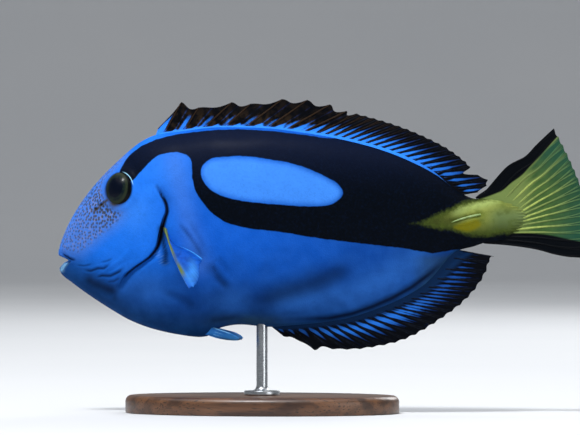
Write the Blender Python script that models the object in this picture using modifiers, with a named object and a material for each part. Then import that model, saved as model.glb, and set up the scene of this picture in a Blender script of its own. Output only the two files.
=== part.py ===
"""Life-size still model of a regal blue tang, swimming, on a plain display stand.

The fish faces -X with its left side towards -Y, and Z is up. The origin is the centre of the stand's
underside, and the stand's rod rises on the Z axis. Sizes are in millimetres until points are made.
"""

import math

import bmesh
import bpy
import numpy as np
from mathutils import Vector

MM = 0.001
GAP = 0.3

# The stand: an oval plate, and a turned rod with a foot
BASE_LENGTH = 124.0
BASE_WIDTH = 80.0
BASE_THICKNESS = 8.0
BASE_EDGE = 1.2
BASE_SIDES = 48
ROD_RADIUS = 2.5
ROD_FOOT_RADIUS = 8.0
ROD_FOOT_THICKNESS = 1.8
ROD_SIDES = 24
SOCKET_DEPTH = 6.0

# The fish: heights are above or below its long axis, which runs level at this height above the floor
AXIS_HEIGHT = 85.0
SNOUT = -92.7
TAIL_TIP = 151.8
BACK = (
    (-92.7, -11.6), (-91.8, -8.3), (-90.0, -3.5), (-87.2, 2.3), (-81.8, 10.9), (-74.5, 19.9), (-65.4, 28.9),
    (-60.4, 33.3), (-54.5, 37.6), (-48.5, 40.2), (-37.5, 41.9), (-19.0, 43.8), (-1.0, 43.5), (17.5, 41.5),
    (35.5, 38.4), (53.5, 33.8), (71.8, 26.3), (81.0, 20.8), (86.0, 16.7), (91.0, 13.2), (97.0, 11.3),
    (104.0, 12.0), (112.0, 15.5),
)
KEEL = (
    (-92.7, -20.9), (-91.6, -22.6), (-87.2, -26.2), (-78.2, -32.6), (-69.1, -38.4), (-60.0, -43.5),
    (-50.0, -47.2), (-38.0, -49.8), (-28.5, -50.9), (-25.0, -50.5), (-22.0, -48.6), (-18.0, -46.4),
    (-10.0, -45.2), (3.6, -46.2), (17.3, -45.4), (35.4, -43.2), (53.6, -37.8), (71.8, -28.8), (79.0, -22.0),
    (84.5, -15.2), (88.4, -11.9), (95.0, -10.1), (102.0, -8.2), (112.0, -9.2),
)
GIRTH = (
    (-92.7, 3.4), (-91.6, 4.3), (-88.0, 5.6), (-83.0, 7.1), (-76.0, 9.2), (-68.0, 11.2), (-60.0, 12.8),
    (-50.0, 14.3), (-38.0, 15.4), (-24.0, 15.7), (-6.0, 15.1), (14.0, 13.5), (34.0, 11.4), (54.0, 9.0),
    (72.0, 6.7), (86.0, 5.1), (98.0, 4.3), (105.0, 3.2), (110.0, 2.1), (114.0, 1.3),
)
WIDEST = 0.57
BACK_ROUNDNESS = ((-92.7, 2.6), (-62.0, 2.7), (-36.0, 2.15), (114.0, 2.1))
BELLY_ROUNDNESS = 2.25
EDGE_SOFTNESS = 0.6

# Where the body is parted, as the distance along it at each height
GILL_LINE = (
    (-62.0, -67.0), (-46.0, -66.6), (-34.0, -65.6), (-28.0, -64.2), (-23.0, -61.0), (-18.6, -55.4),
    (-14.5, -49.4), (-9.4, -45.6), (-4.0, -44.2), (2.0, -42.6), (6.0, -41.4), (9.0, -41.9), (14.0, -44.6),
    (26.0, -48.0), (40.0, -50.6), (56.0, -51.0),
)
TAIL_LINE = (
    (-26.0, 90.2), (-12.5, 89.6), (-5.0, 83.4), (3.0, 81.6), (11.0, 82.6), (19.0, 86.6), (40.0, 87.4),
)
TAIL_ROOT_X = 113.5
TAIL_ROOT_HEIGHT = 4.0
TAIL_ROOT_BOW_ABOVE = 0.26
TAIL_ROOT_BOW_BELOW = 0.078
TAIL_ROOT_TOP_RISE = 8.0

# The gill cover, the slit behind it, and the mouth
GILL_TOP = 14.5
GILL_FOOT = -27.0
GILL_COVER_LIFT = 0.9
GILL_COVER_REACH = 8.0
GILL_SLIT_DEPTH = 1.7
GILL_SLIT_REACH = 3.2
CHEEK_RIDGE_BEFORE_GILL = 11.0
CHEEK_RIDGE = 0.35
MOUTH_HEIGHT = -16.3
MOUTH_GAPE = 2.1
MOUTH_DEPTH = 4.6
LIP_SWELL = 0.75
JAW_LINE = ((-96.0, -16.1), (-87.4, -16.1), (-85.0, -20.4), (-82.6, -36.0))
NOSTRILS = ((-74.3, 6.9, 0.75), (-71.6, 8.9, 0.95))

# The eyes, flattened balls set in the slope of the head
EYE_X = -63.8
EYE_HEIGHT = 16.2
EYE_LENGTH = 8.2
EYE_DEPTH = 5.0
EYE_TALL = 8.6
EYE_SUNK = 2.6
ORBIT_LIFT = 0.8
ORBIT_RADIUS = 8.4
ORBIT_BREADTH = 1.9

# The tail swings a little to the fish's right
SWAY_START = 12.0
SWAY_TIP = 8.0

# Fins: a spine or ray is a root, an angle above the level and a length
DORSAL_SPINES = (
    (-48.4, 72.0, 3.2), (-44.8, 60.0, 16.6), (-35.6, 57.0, 12.6), (-26.4, 42.5, 17.4), (-16.8, 42.0, 15.8),
    (-7.3, 37.5, 21.0), (2.7, 35.0, 22.2), (10.9, 29.5, 23.4), (18.6, 25.5, 22.2),
)
DORSAL_RAYS = ((24.4, 26.5, 20.9), (40.0, 21.0, 21.2), (63.0, 13.0, 20.3), (74.4, 10.5, 17.9))
DORSAL_RAY_COUNT = 15
DORSAL_REAR_RAYS = (
    (77.9, 10.4, 16.5), (81.2, 5.3, 16.2), (84.4, 6.3, 17.7), (87.4, 7.0, 14.2), (90.6, 8.0, 6.6),
)
DORSAL_TEAR_AFTER = 25
ANAL_SPINES = ((5.0, -40.0, 7.0), (8.6, -39.0, 9.4), (13.2, -45.3, 15.6))
ANAL_RAYS = (
    (17.6, -37.0, 18.2), (26.0, -31.0, 22.6), (45.0, -20.5, 26.0), (63.0, -9.0, 25.2), (77.0, -2.5, 22.4),
    (88.6, -9.5, 15.4),
)
ANAL_RAY_COUNT = 19
SPINY_NOTCH = 0.12
SOFT_NOTCH = 0.03
CAUDAL_NOTCH = 0.014
TEAR_NOTCH = 0.3

# The tail fin: its upper and lower edges from root to tip, and the bow of the trailing edge between the tips
CAUDAL_UPPER_EDGE = (
    (99.4, 11.6), (103.4, 16.5), (108.1, 22.3), (111.5, 25.9), (114.6, 27.9), (118.8, 30.1), (124.2, 35.9),
    (131.4, 43.1),
)
CAUDAL_LOWER_EDGE = (
    (101.8, -8.2), (114.4, -9.5), (124.0, -11.1), (131.3, -13.2), (139.4, -14.6), (151.8, -15.2),
)
CAUDAL_BOW = 2.9
CAUDAL_RAY_COUNT = 16

# The paired fins of the left side; the right side mirrors them
PECTORAL_ROOT = ((-42.2, -1.2), (-40.6, -9.6))
PECTORAL_TIPS = (
    (-26.5, 42.0, -28.4), (-24.5, 41.5, -27.8), (-23.2, 40.0, -26.0), (-22.6, 38.0, -23.6),
    (-22.8, 35.5, -20.7), (-23.1, 32.5, -18.1), (-22.7, 29.0, -16.6), (-23.0, 26.0, -15.5),
)
PECTORAL_BOW = ((-0.9, 1.0, -0.6), (0.0, 1.0, 1.6))
PECTORAL_RAY_COUNT = 13
PELVIC_ROOT = ((-25.4, 1.5), (-20.6, 3.4))
PELVIC_TIPS = ((-9.8, 4.2, -52.2), (-9.4, 6.6, -51.4), (-12.6, 8.4, -49.6), (-16.8, 8.0, -47.8))

# The blade on each side of the tail's stalk, its tip forward, in a shallow sheath
BLADE_TIP = (85.8, 0.8)
BLADE_HEEL = (99.0, 4.4)
BLADE_HEIGHT = 2.6
BLADE_THICKNESS = 1.5
BLADE_POINT = 0.25
BLADE_LIFT = 0.15

# How finely the surfaces are divided
HEAD_RINGS = (
    0.0, 0.012, 0.04, 0.075, 0.12, 0.18, 0.25, 0.33, 0.41, 0.49, 0.57, 0.65, 0.73, 0.8, 0.86, 0.91, 0.955,
    1.0,
)
TORSO_RINGS = (
    0.0, 0.02, 0.045, 0.08, 0.12, 0.16, 0.2, 0.235, 0.265, 0.295, 0.33, 0.38, 0.44, 0.51, 0.58, 0.65, 0.72,
    0.78, 0.83, 0.87, 0.9, 0.93, 0.955, 0.978, 1.0,
)
STALK_RINGS = (0.0, 0.15, 0.3, 0.45, 0.6, 0.75, 0.9, 1.0)
BODY_STEPS = 28
MEDIAN_FIN_ROWS = 6
CAUDAL_FIN_ROWS = 9
PAIRED_FIN_ROWS = 5
RIDGE = 1.3
WEB = 0.6
ROOT_THICKNESS = 1.8


def through(stations):
    """A smooth line through (position, value) stations that doesn't overshoot them."""
    at, value = np.array(stations, float).T
    step = np.diff(at)
    slope = np.diff(value) / step
    before, after = slope[:-1], slope[1:]
    same_way = before * after > 0
    safe = np.where(same_way, before * after, 1.0)
    heavy, light = 2 * step[1:] + step[:-1], step[1:] + 2 * step[:-1]
    mean = (heavy + light) * safe / (heavy * after + light * before + np.where(same_way, 0.0, 1e9))
    tangent = np.concatenate([slope[:1], np.where(same_way, mean, 0.0), slope[-1:]])

    def line(position):
        place = np.clip(position, at[0], at[-1])
        k = np.clip(np.searchsorted(at, place, side="right") - 1, 0, len(step) - 1)
        t = (place - at[k]) / step[k]
        rise = t * t * (3 - 2 * t)
        bend = t * (1 - t) * ((1 - t) * tangent[k] - t * tangent[k + 1]) * step[k]
        return value[k] * (1 - rise) + value[k + 1] * rise + bend

    return line


back, keel, girth = through(BACK), through(KEEL), through(GIRTH)
back_roundness = through(BACK_ROUNDNESS)
gill_line, tail_line = through(GILL_LINE), through(TAIL_LINE)


def tail_root(height):
    """Where the stalk ends and the tail fin begins: a bow, rounded towards the tail."""
    rise = np.minimum(height - TAIL_ROOT_HEIGHT, TAIL_ROOT_TOP_RISE)
    bow = np.where(rise > 0, TAIL_ROOT_BOW_ABOVE, TAIL_ROOT_BOW_BELOW)
    return TAIL_ROOT_X - bow * rise ** 2


def bell(distance, reach):
    return np.exp(-((distance / reach) ** 2))


def fade(value, start, end):
    """0 before start and 1 after end, with a smooth step between."""
    t = np.clip((value - start) / (end - start), 0.0, 1.0)
    return t * t * (3 - 2 * t)


def plain_half_width(x, height):
    top, low = back(x), keel(x)
    waist = low + WIDEST * (top - low)
    above = height > waist
    share = np.where(above, (height - waist) / (top - waist), (waist - height) / (waist - low))
    power = np.where(above, back_roundness(x), BELLY_ROUNDNESS)
    return girth(x) * (1 - np.clip(share, 0.0, 1.0) ** power) ** EDGE_SOFTNESS


def along_gill(height):
    """1 along the gill slit, and 0 above its top and below its foot."""
    return fade(height, GILL_FOOT - 5, GILL_FOOT + 3) * (1 - fade(height, GILL_TOP - 3, GILL_TOP + 4))


def head_relief(x, height):
    """The gill cover's raised rim, the ridge of the cheek and the rim of the orbit."""
    before_gill = gill_line(height) - x
    relief = GILL_COVER_LIFT * bell(before_gill, GILL_COVER_REACH) * along_gill(height)
    relief += CHEEK_RIDGE * bell(before_gill - CHEEK_RIDGE_BEFORE_GILL, 2.2) * along_gill(height)
    from_eye = np.hypot(x - EYE_X, height - EYE_HEIGHT)
    return relief + ORBIT_LIFT * bell(from_eye - ORBIT_RADIUS, ORBIT_BREADTH)


def torso_relief(x, height):
    """The slit behind the gill cover."""
    behind_gill = x - gill_line(height)
    return -GILL_SLIT_DEPTH * bell(behind_gill, GILL_SLIT_REACH) * along_gill(height)


def half_width(x, height, relief):
    """The plain half width with its relief, which fades out towards the back and the keel."""
    plain = plain_half_width(x, height)
    return plain + relief(x, height) * np.clip(plain / 6.0, 0.0, 1.0)


def sway(x):
    """How far the tail end is swung sideways."""
    return SWAY_TIP * (np.clip(x - SWAY_START, 0.0, None) / (TAIL_TIP - SWAY_START)) ** 2


def points_of(x, y, height):
    """Points in metres, from millimetres along, across and above the fish's axis."""
    x, y, height = np.broadcast_arrays(np.asarray(x, float), y, height)
    return np.stack([x, y + sway(x), height + AXIS_HEIGHT], axis=-1) * MM


def outward(x, height, side):
    """The unit vector out of the skin on one side: -1 is the fish's left, 1 its right."""
    reach = 0.8
    along = plain_half_width(x + reach, height) - plain_half_width(x - reach, height)
    up = plain_half_width(x, height + reach) - plain_half_width(x, height - reach)
    return Vector((-along / (2 * reach), side, -up / (2 * reach))).normalized()


def new_mesh_object(name, points, faces):
    mesh = bpy.data.meshes.new(name)
    mesh.from_pydata([tuple(p) for p in points], [], faces)
    work = bmesh.new()
    work.from_mesh(mesh)
    bmesh.ops.recalc_face_normals(work, faces=work.faces)
    work.to_mesh(mesh)
    work.free()
    made = bpy.data.objects.new(name, mesh)
    fish.objects.link(made)
    return made


def keep_largest(mesh):
    """Drops every closed surface of a mesh but the one with the most points."""
    work = bmesh.new()
    work.from_mesh(mesh)
    seen, surfaces = set(), []
    for start in work.verts:
        if start in seen:
            continue
        seen.add(start)
        surface = [start]
        for vertex in surface:
            reached = [edge.other_vert(vertex) for edge in vertex.link_edges]
            surface += [other for other in reached if other not in seen]
            seen.update(reached)
        surfaces.append(surface)
    surfaces.sort(key=len)
    scraps = [vertex for surface in surfaces[:-1] for vertex in surface]
    bmesh.ops.delete(work, geom=scraps, context="VERTS")
    work.to_mesh(mesh)
    work.free()


def applied(source, name):
    """A plain mesh object from what source's modifiers make, in place of source."""
    bpy.context.view_layer.update()
    evaluated = source.evaluated_get(bpy.context.evaluated_depsgraph_get())
    mesh = bpy.data.meshes.new_from_object(evaluated)
    mesh.transform(source.matrix_world)
    keep_largest(mesh)
    bpy.data.objects.remove(source)
    mesh.name = name
    made = bpy.data.objects.new(name, mesh)
    fish.objects.link(made)
    return made


def cut(target, cutter, operation="DIFFERENCE"):
    modifier = target.modifiers.new(f"{operation.lower()} {cutter.name}", "BOOLEAN")
    modifier.operation = operation
    modifier.solver = "EXACT"
    modifier.object = cutter


def move_to(collection, obj):
    """Puts an object in this collection only. A cutter is drawn as wire and isn't part of the object."""
    for owner in list(obj.users_collection):
        owner.objects.unlink(obj)
    collection.objects.link(obj)
    if collection is cutters:
        obj.hide_render = True
        obj.display_type = "WIRE"
    return obj


def finish(obj, material, smooth=40.0):
    obj.data.materials.clear()
    obj.data.materials.append(material)
    obj.data.shade_smooth()
    obj.data.set_sharp_from_angle(angle=math.radians(smooth))
    return obj


def painted(name, colour, roughness, metallic=0.0):
    """A Principled material from an sRGB colour given as a hex number."""
    parts = [((colour >> shift) & 255) / 255 for shift in (16, 8, 0)]
    linear = [c / 12.92 if c <= 0.04045 else ((c + 0.055) / 1.055) ** 2.4 for c in parts]
    material = bpy.data.materials.new(name)
    material.use_nodes = True
    shader = material.node_tree.nodes["Principled BSDF"]
    shader.inputs["Base Color"].default_value = (*linear, 1.0)
    shader.inputs["Roughness"].default_value = roughness
    shader.inputs["Metallic"].default_value = metallic
    material.diffuse_color = (*linear, 1.0)
    return material


def ring_line(ring, share, front, rear):
    """One ring of a length of the body: where it runs between the keel, share 0, and the back, share 1."""
    height = np.zeros_like(share)
    for _ in range(30):
        x = (1 - ring) * front(height, ring) + ring * rear(height)
        height = (height + keel(x) + share * (back(x) - keel(x))) / 2
    return x, height


def shell(name, rings, front, rear, relief):
    """A length of the body, lofted from one line across it to another and closed by a wall at each end."""
    steps = BODY_STEPS
    part = np.linspace(0.0, 1.0, steps + 1)
    share = 0.5 + 0.5 * (0.5 * np.cos(math.pi * part) + 0.5 * (1 - 2 * part))
    left, right = [], []
    for ring in rings:
        x, height = ring_line(ring, share, front, rear)
        width = half_width(x, height, lambda a, b: relief(a, b, ring))
        width[[0, -1]] = 0.0
        left.append(points_of(x, -width, height))
        right.append(points_of(x, width, height)[1:-1])
    count = 2 * steps
    points = np.concatenate([np.concatenate([a, b[::-1]]) for a, b in zip(left, right)])
    faces = []
    for first in range(0, (len(rings) - 1) * count, count):
        for j in range(count):
            a, b = first + j, first + (j + 1) % count
            faces.append((a, b, b + count, a + count))
    for first in (0, (len(rings) - 1) * count):
        faces.append((first, first + 1, first + count - 1))
        faces.append((first + steps, first + steps - 1, first + steps + 1))
        for j in range(1, steps - 1):
            faces.append((first + j, first + j + 1, first + count - j - 1, first + count - j))
    return new_mesh_object(name, points, faces)


def prism(name, outline, half_depth):
    """A cutter: an outline in the XZ plane, drawn out to both sides."""
    work = bmesh.new()
    corners = [work.verts.new((x * MM, -half_depth * MM, (z + AXIS_HEIGHT) * MM)) for x, z in outline]
    drawn = bmesh.ops.extrude_face_region(work, geom=[work.faces.new(corners)])
    moved = [piece for piece in drawn["geom"] if isinstance(piece, bmesh.types.BMVert)]
    bmesh.ops.translate(work, verts=moved, vec=(0, 2 * half_depth * MM, 0))
    bmesh.ops.recalc_face_normals(work, faces=work.faces)
    mesh = bpy.data.meshes.new(name)
    work.to_mesh(mesh)
    work.free()
    return move_to(cutters, bpy.data.objects.new(name, mesh))


def ball(name, place, axes, facing, sides, collection):
    """A flattened ball, its short axis turned to face the way the skin does."""
    bpy.ops.mesh.primitive_uv_sphere_add(segments=sides, ring_count=sides // 2, radius=1.0)
    made = bpy.context.object
    made.name = name
    made.data.transform(Vector((0, 0, 1)).rotation_difference(Vector((0, 1, 0))).to_matrix().to_4x4())
    for vertex in made.data.vertices:
        vertex.co *= Vector(axes) * MM
    sideways = Vector((0, math.copysign(1.0, facing.y), 0))
    made.data.transform(sideways.rotation_difference(facing).to_matrix().to_4x4())
    made.location = place
    return move_to(collection, made)


def plate(name, middle, through_way, half, roots=None):
    """A closed plate from the points of its middle surface, split into triangles alike on both faces."""
    columns, rows = middle.shape[:2]
    front = middle + through_way * half[..., None] * MM
    rear = middle - through_way * half[..., None] * MM
    if roots is not None:
        front[:, 0], rear[:, 0] = roots
    points = np.concatenate([front.reshape(-1, 3), rear.reshape(-1, 3)])
    other = columns * rows
    faces = []
    for i in range(columns - 1):
        for j in range(rows - 1):
            a, d = i * rows + j, i * rows + j + 1
            b, c = a + rows, d + rows
            faces += [(a, b, c), (a, c, d)]
            faces += [(other + c, other + b, other + a), (other + d, other + c, other + a)]
    rim = [i * rows for i in range(columns)]
    rim += [(columns - 1) * rows + j for j in range(1, rows)]
    rim += [i * rows + rows - 1 for i in range(columns - 2, -1, -1)]
    rim += [j for j in range(rows - 2, 0, -1)]
    for a, b in zip(rim, rim[1:] + rim[:1]):
        faces += [(b, a, other + a), (b, other + a, other + b)]
    return new_mesh_object(name, points, faces)


def web_columns(count, parts=3):
    """For each column of a fin: the ray before it, and how far it lies towards the next ray."""
    columns = [(ray, piece / parts) for ray in range(count - 1) for piece in range(parts)]
    return columns + [(count - 1, 0.0)]


def fin_grid(roots, tips, notches, rows, bows=None):
    """Points of a fin's middle surface, and 1 on a ray's ridge or 0 on the web, for each column and row.

    A notch is the share of its ray by which the web's edge dips, most of it towards the next ray.
    """
    bows = np.zeros_like(roots) if bows is None else bows
    middle, ridge = [], []
    out = np.linspace(0.0, 1.0, rows)[:, None]
    for ray, part in web_columns(len(roots)):
        following = min(ray + 1, len(roots) - 1)
        root = roots[ray] * (1 - part) + roots[following] * part
        tip = tips[ray] * (1 - part) + tips[following] * part
        tip = tip - (tip - root) * notches[ray] * 6.75 * part * part * (1 - part)
        bow = bows[ray] * (1 - part) + bows[following] * part
        middle.append(root + (tip - root) * out + bow * 4 * out * (1 - out))
        ridge.append(np.full(rows, 1.0 if part == 0 else 0.0))
    return np.array(middle), np.array(ridge)


def fin_thickness(ridge, rows):
    """Half thicknesses: stout at the root, ridged along each ray, thin at the edge."""
    out = np.linspace(0.0, 1.0, rows)
    stout = (ROOT_THICKNESS - WEB) * (1 - fade(out, 0.0, 0.3))
    ray = (RIDGE - WEB) * (1 - 0.75 * out)
    return (WEB + stout + ridge * (ray - np.minimum(stout, ray))) / 2


def torso_front(height, ring=0.0):
    return gill_line(height) + GAP / 2


def torso_rear(height):
    return tail_line(height) - GAP / 2


def stalk_front(height, ring=0.0):
    return tail_line(height) + GAP / 2


def body_edge(top):
    """The body's upper or lower edge behind the head as it is built, straight from ring to ring."""
    share = np.array([1.0 if top else 0.0])
    torso = [ring_line(ring, share, torso_front, torso_rear) for ring in TORSO_RINGS]
    stalk = [ring_line(ring, share, stalk_front, tail_root) for ring in STALK_RINGS]
    at, height = np.array(torso + stalk)[..., 0].T
    return lambda x: np.interp(x, at, height)


def median_fin(name, top, bones, notches, material):
    """A fin on the back or the belly, its foot following the body's edge at a small gap."""
    rows = MEDIAN_FIN_ROWS
    edge_line, side = body_edge(top), 1 if top else -1
    foot, angle, length = np.array(bones).T
    tip_x = foot + length * np.cos(np.radians(angle))
    tip_height = edge_line(foot) + length * np.sin(np.radians(angle))
    roots = points_of(foot, 0.0, edge_line(foot) + side * GAP)
    tips = points_of(tip_x, 0.0, tip_height)
    middle, ridge = fin_grid(roots, tips, notches, rows)
    middle[:, :, 1] = sway(middle[:, :, 0] / MM) * MM
    middle[:, 0, 2] = (edge_line(middle[:, 0, 0] / MM) + side * GAP + AXIS_HEIGHT) * MM
    across = np.zeros_like(middle)
    across[..., 1] = 1.0
    return finish(plate(name, middle, across, fin_thickness(ridge, rows)), material)


def evenly(rays, count):
    """This many rays with evenly spaced feet, their angles and lengths drawn through the given ones."""
    foot = np.linspace(rays[0][0], rays[-1][0], count)
    angle = through([ray[:2] for ray in rays])(foot)
    length = through([ray[::2] for ray in rays])(foot)
    return tuple(zip(foot, angle, length))


def caudal_fin(material):
    """The tail fin, its foot bowed round the stalk's end, and its outer rays bent to the fin's two edges."""
    rows = CAUDAL_FIN_ROWS
    upper, lower = np.array(CAUDAL_UPPER_EDGE), np.array(CAUDAL_LOWER_EDGE)
    spread = np.linspace(0.0, 1.0, CAUDAL_RAY_COUNT)
    height = upper[0, 1] + (lower[0, 1] - upper[0, 1]) * spread
    roots = points_of(tail_root(height), 0.0, height)
    between = (lower[-1] - upper[-1]) / np.linalg.norm(lower[-1] - upper[-1])
    behind = np.array([-between[1], between[0]])
    bow = CAUDAL_BOW * np.sin(math.pi * spread) ** 0.9
    edge = upper[-1] + (lower[-1] - upper[-1]) * spread[:, None] + behind * bow[:, None]
    tips = points_of(edge[:, 0], 0.0, edge[:, 1])
    middle, ridge = fin_grid(roots, tips, np.full(CAUDAL_RAY_COUNT, CAUDAL_NOTCH), rows)

    out = np.linspace(0.0, 1.0, rows)[:, None]
    part = np.linspace(0.0, 1.0, len(middle))
    for line, weight in ((upper, (1 - part) ** 5), (lower, part ** 5)):
        bend = spread_along(line, rows) - (line[0] + (line[-1] - line[0]) * out)
        middle[:, :, 0] += weight[:, None] * bend[:, 0] * MM
        middle[:, :, 2] += weight[:, None] * bend[:, 1] * MM
    foot = middle[:, 0, 2] / MM - AXIS_HEIGHT
    slope = (tail_root(foot + 0.01) - tail_root(foot - 0.01)) / 0.02
    middle[:, 0, 0] = (tail_root(foot) + GAP / np.hypot(1.0, slope)) * MM
    middle[:, 0, 2] = (foot - GAP * slope / np.hypot(1.0, slope) + AXIS_HEIGHT) * MM
    middle[:, :, 1] = sway(middle[:, :, 0] / MM) * MM
    across = np.zeros_like(middle)
    across[..., 1] = 1.0
    return finish(plate("caudal_fin", middle, across, fin_thickness(ridge, rows)), material)


def sheet_normals(middle):
    along_columns = np.gradient(middle, axis=0)
    along_rows = np.gradient(middle, axis=1)
    normal = np.cross(along_columns, along_rows)
    return normal / np.linalg.norm(normal, axis=-1, keepdims=True)


def spread_along(points, count):
    """This many points, evenly spaced along a smooth line through the given ones."""
    points = np.array(points, float)
    at = np.concatenate([[0.0], np.cumsum(np.linalg.norm(np.diff(points, axis=0), axis=1))])
    wanted = np.linspace(0.0, at[-1], count)
    return np.stack([through(list(zip(at, column)))(wanted) for column in points.T], axis=-1)


def pectoral_fin(name, side, material):
    """A fan that reaches out, down and back from its root behind the gill slit."""
    rows = PAIRED_FIN_ROWS
    root = spread_along(PECTORAL_ROOT, PECTORAL_RAY_COUNT)
    tips = spread_along(PECTORAL_TIPS, PECTORAL_RAY_COUNT)
    skin = half_width(root[:, 0], root[:, 1], torso_relief) + GAP
    roots = points_of(root[:, 0], side * skin, root[:, 1])
    ends = points_of(tips[:, 0], side * tips[:, 1], tips[:, 2])
    share = np.linspace(0.0, 1.0, PECTORAL_RAY_COUNT)[:, None]
    bows = (np.array(PECTORAL_BOW[0]) * (1 - share) + np.array(PECTORAL_BOW[1]) * share) * (1, side, 1) * MM
    middle, ridge = fin_grid(roots, ends, np.full(PECTORAL_RAY_COUNT, SOFT_NOTCH), rows, bows)
    half = fin_thickness(ridge, rows)
    normal = sheet_normals(middle)
    feet = []
    for turn in (1, -1):
        foot = middle[:, 0] + turn * normal[:, 0] * half[:, 0, None] * MM
        x, height = foot[:, 0] / MM, foot[:, 2] / MM - AXIS_HEIGHT
        feet.append(points_of(x, side * (half_width(x, height, torso_relief) + GAP), height))
    return finish(plate(name, middle, normal, half, feet), material)


def belly_height(x, y):
    """The height of the belly's skin at a distance y from the middle."""
    top, low = back(x), keel(x)
    waist = low + WIDEST * (top - low)
    share = (1 - (y / girth(x)) ** (1 / EDGE_SOFTNESS)) ** (1 / BELLY_ROUNDNESS)
    return waist - share * (waist - low)


def pelvic_fin(name, side, material):
    """A narrow fan folded back under the belly."""
    rows = PAIRED_FIN_ROWS
    count = len(PELVIC_TIPS)
    root = spread_along(PELVIC_ROOT, count)
    tips = np.array(PELVIC_TIPS)
    roots = points_of(root[:, 0], side * root[:, 1], belly_height(root[:, 0], root[:, 1]) - GAP)
    ends = points_of(tips[:, 0], side * tips[:, 1], tips[:, 2])
    middle, ridge = fin_grid(roots, ends, np.full(count, SOFT_NOTCH), rows)
    half = fin_thickness(ridge, rows) * 0.8
    normal = sheet_normals(middle)
    feet = []
    for turn in (1, -1):
        foot = middle[:, 0] + turn * normal[:, 0] * half[:, 0, None] * MM
        x, y = foot[:, 0] / MM, np.abs(foot[:, 1]) / MM
        feet.append(points_of(x, side * y, belly_height(x, y) - GAP))
    return finish(plate(name, middle, normal, half, feet), material)


def eye_place(side):
    """The middle of an eye's ball and the way it faces."""
    facing = outward(EYE_X, EYE_HEIGHT, side)
    skin = Vector(points_of(EYE_X, side * plain_half_width(EYE_X, EYE_HEIGHT), EYE_HEIGHT))
    return skin - facing * EYE_SUNK * MM, facing


def blade(name, side, spare, collection):
    """A tapered spine that lies along the stalk. Spare makes it larger all round, to cut its sheath."""
    ends = []
    for x, height in (BLADE_HEEL, BLADE_TIP):
        ends.append(Vector(points_of(x, side * (plain_half_width(x, height) + BLADE_LIFT), height)))
    along = ends[1] - ends[0]
    bpy.ops.mesh.primitive_cone_add(
        vertices=8,
        radius1=BLADE_HEIGHT / 2 * MM + spare,
        radius2=BLADE_POINT * MM + spare,
        depth=along.length + 2 * spare,
    )
    made = bpy.context.object
    made.name = name
    flat = (BLADE_THICKNESS / 2 * MM + spare) / (BLADE_HEIGHT / 2 * MM + spare)
    for vertex in made.data.vertices:
        vertex.co.y *= flat
    turn = along.to_track_quat("Z", "Y")
    made.data.transform(turn.to_matrix().to_4x4())
    made.location = (ends[0] + ends[1]) / 2
    return move_to(collection, made)


def head_front(height, ring):
    """The mouth's opening at the front of the head, smoothed away a little behind it."""
    opening = MOUTH_DEPTH * bell(height - MOUTH_HEIGHT, MOUTH_GAPE)
    return SNOUT + opening * (1 - fade(ring, 0.0, 0.16))


def head_rear(height):
    return gill_line(height) - GAP / 2


def head_surface(x, height, ring):
    """The head's relief with the roll of the lips at its front."""
    lips = LIP_SWELL * (bell(ring - 0.012, 0.014) - 0.6 * bell(ring - 0.045, 0.02))
    return head_relief(x, height) + lips


def jaw_outline(inset):
    """The space of the lower jaw, below and before its parting line."""
    line = [(x - inset, z - inset) for x, z in JAW_LINE]
    return line + [(line[0][0], line[-1][1])]


def make_head(colours):
    whole = shell("head_whole", HEAD_RINGS, head_front, head_rear, head_surface)
    jaw = whole.copy()
    jaw.data = whole.data.copy()
    fish.objects.link(jaw)
    cut(whole, prism("jaw_space", jaw_outline(0.0), 30.0))
    cut(jaw, prism("jaw_shape", jaw_outline(GAP), 31.0), "INTERSECT")
    for side, word in ((-1, "left"), (1, "right")):
        place, facing = eye_place(side)
        axes = (EYE_LENGTH + GAP, EYE_DEPTH + GAP, EYE_TALL + GAP)
        cut(whole, ball(f"socket_{word}", place, axes, facing, 24, cutters))
        for number, (x, height, radius) in enumerate(NOSTRILS):
            facing = outward(x, height, side)
            place = Vector(points_of(x, side * plain_half_width(x, height), height))
            cut(whole, ball(f"nostril_{word}_{number}", place, (radius, 0.9, radius), facing, 8, cutters))
    finish(applied(whole, "head"), colours["blue"])
    finish(applied(jaw, "lower_jaw"), colours["blue"])
    for side, word in ((-1, "left"), (1, "right")):
        place, facing = eye_place(side)
        axes = (EYE_LENGTH, EYE_DEPTH, EYE_TALL)
        finish(ball(f"eye_{word}", place, axes, facing, 24, fish), colours["eye"])


def make_torso(colours):
    torso = shell(
        "torso_whole",
        TORSO_RINGS,
        torso_front,
        torso_rear,
        lambda x, height, ring: torso_relief(x, height),
    )
    bpy.ops.mesh.primitive_cylinder_add(vertices=ROD_SIDES, radius=(ROD_RADIUS + GAP) * MM, depth=0.04)
    socket = bpy.context.object
    socket.name = "rod_socket"
    socket.location = (0, 0, (AXIS_HEIGHT + keel(0.0) + SOCKET_DEPTH + GAP) * MM - 0.02)
    cut(torso, move_to(cutters, socket))
    finish(applied(torso, "torso"), colours["blue"])


def make_stalk(colours):
    stalk = shell(
        "tail_stalk_whole",
        STALK_RINGS,
        stalk_front,
        tail_root,
        lambda x, height, ring: 0.0 * x,
    )
    for side, word in ((-1, "left"), (1, "right")):
        cut(stalk, blade(f"sheath_{word}", side, GAP * MM, cutters))
        finish(blade(f"tail_blade_{word}", side, 0.0, fish), colours["pale"])
    finish(applied(stalk, "tail_stalk"), colours["yellow"])


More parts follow.
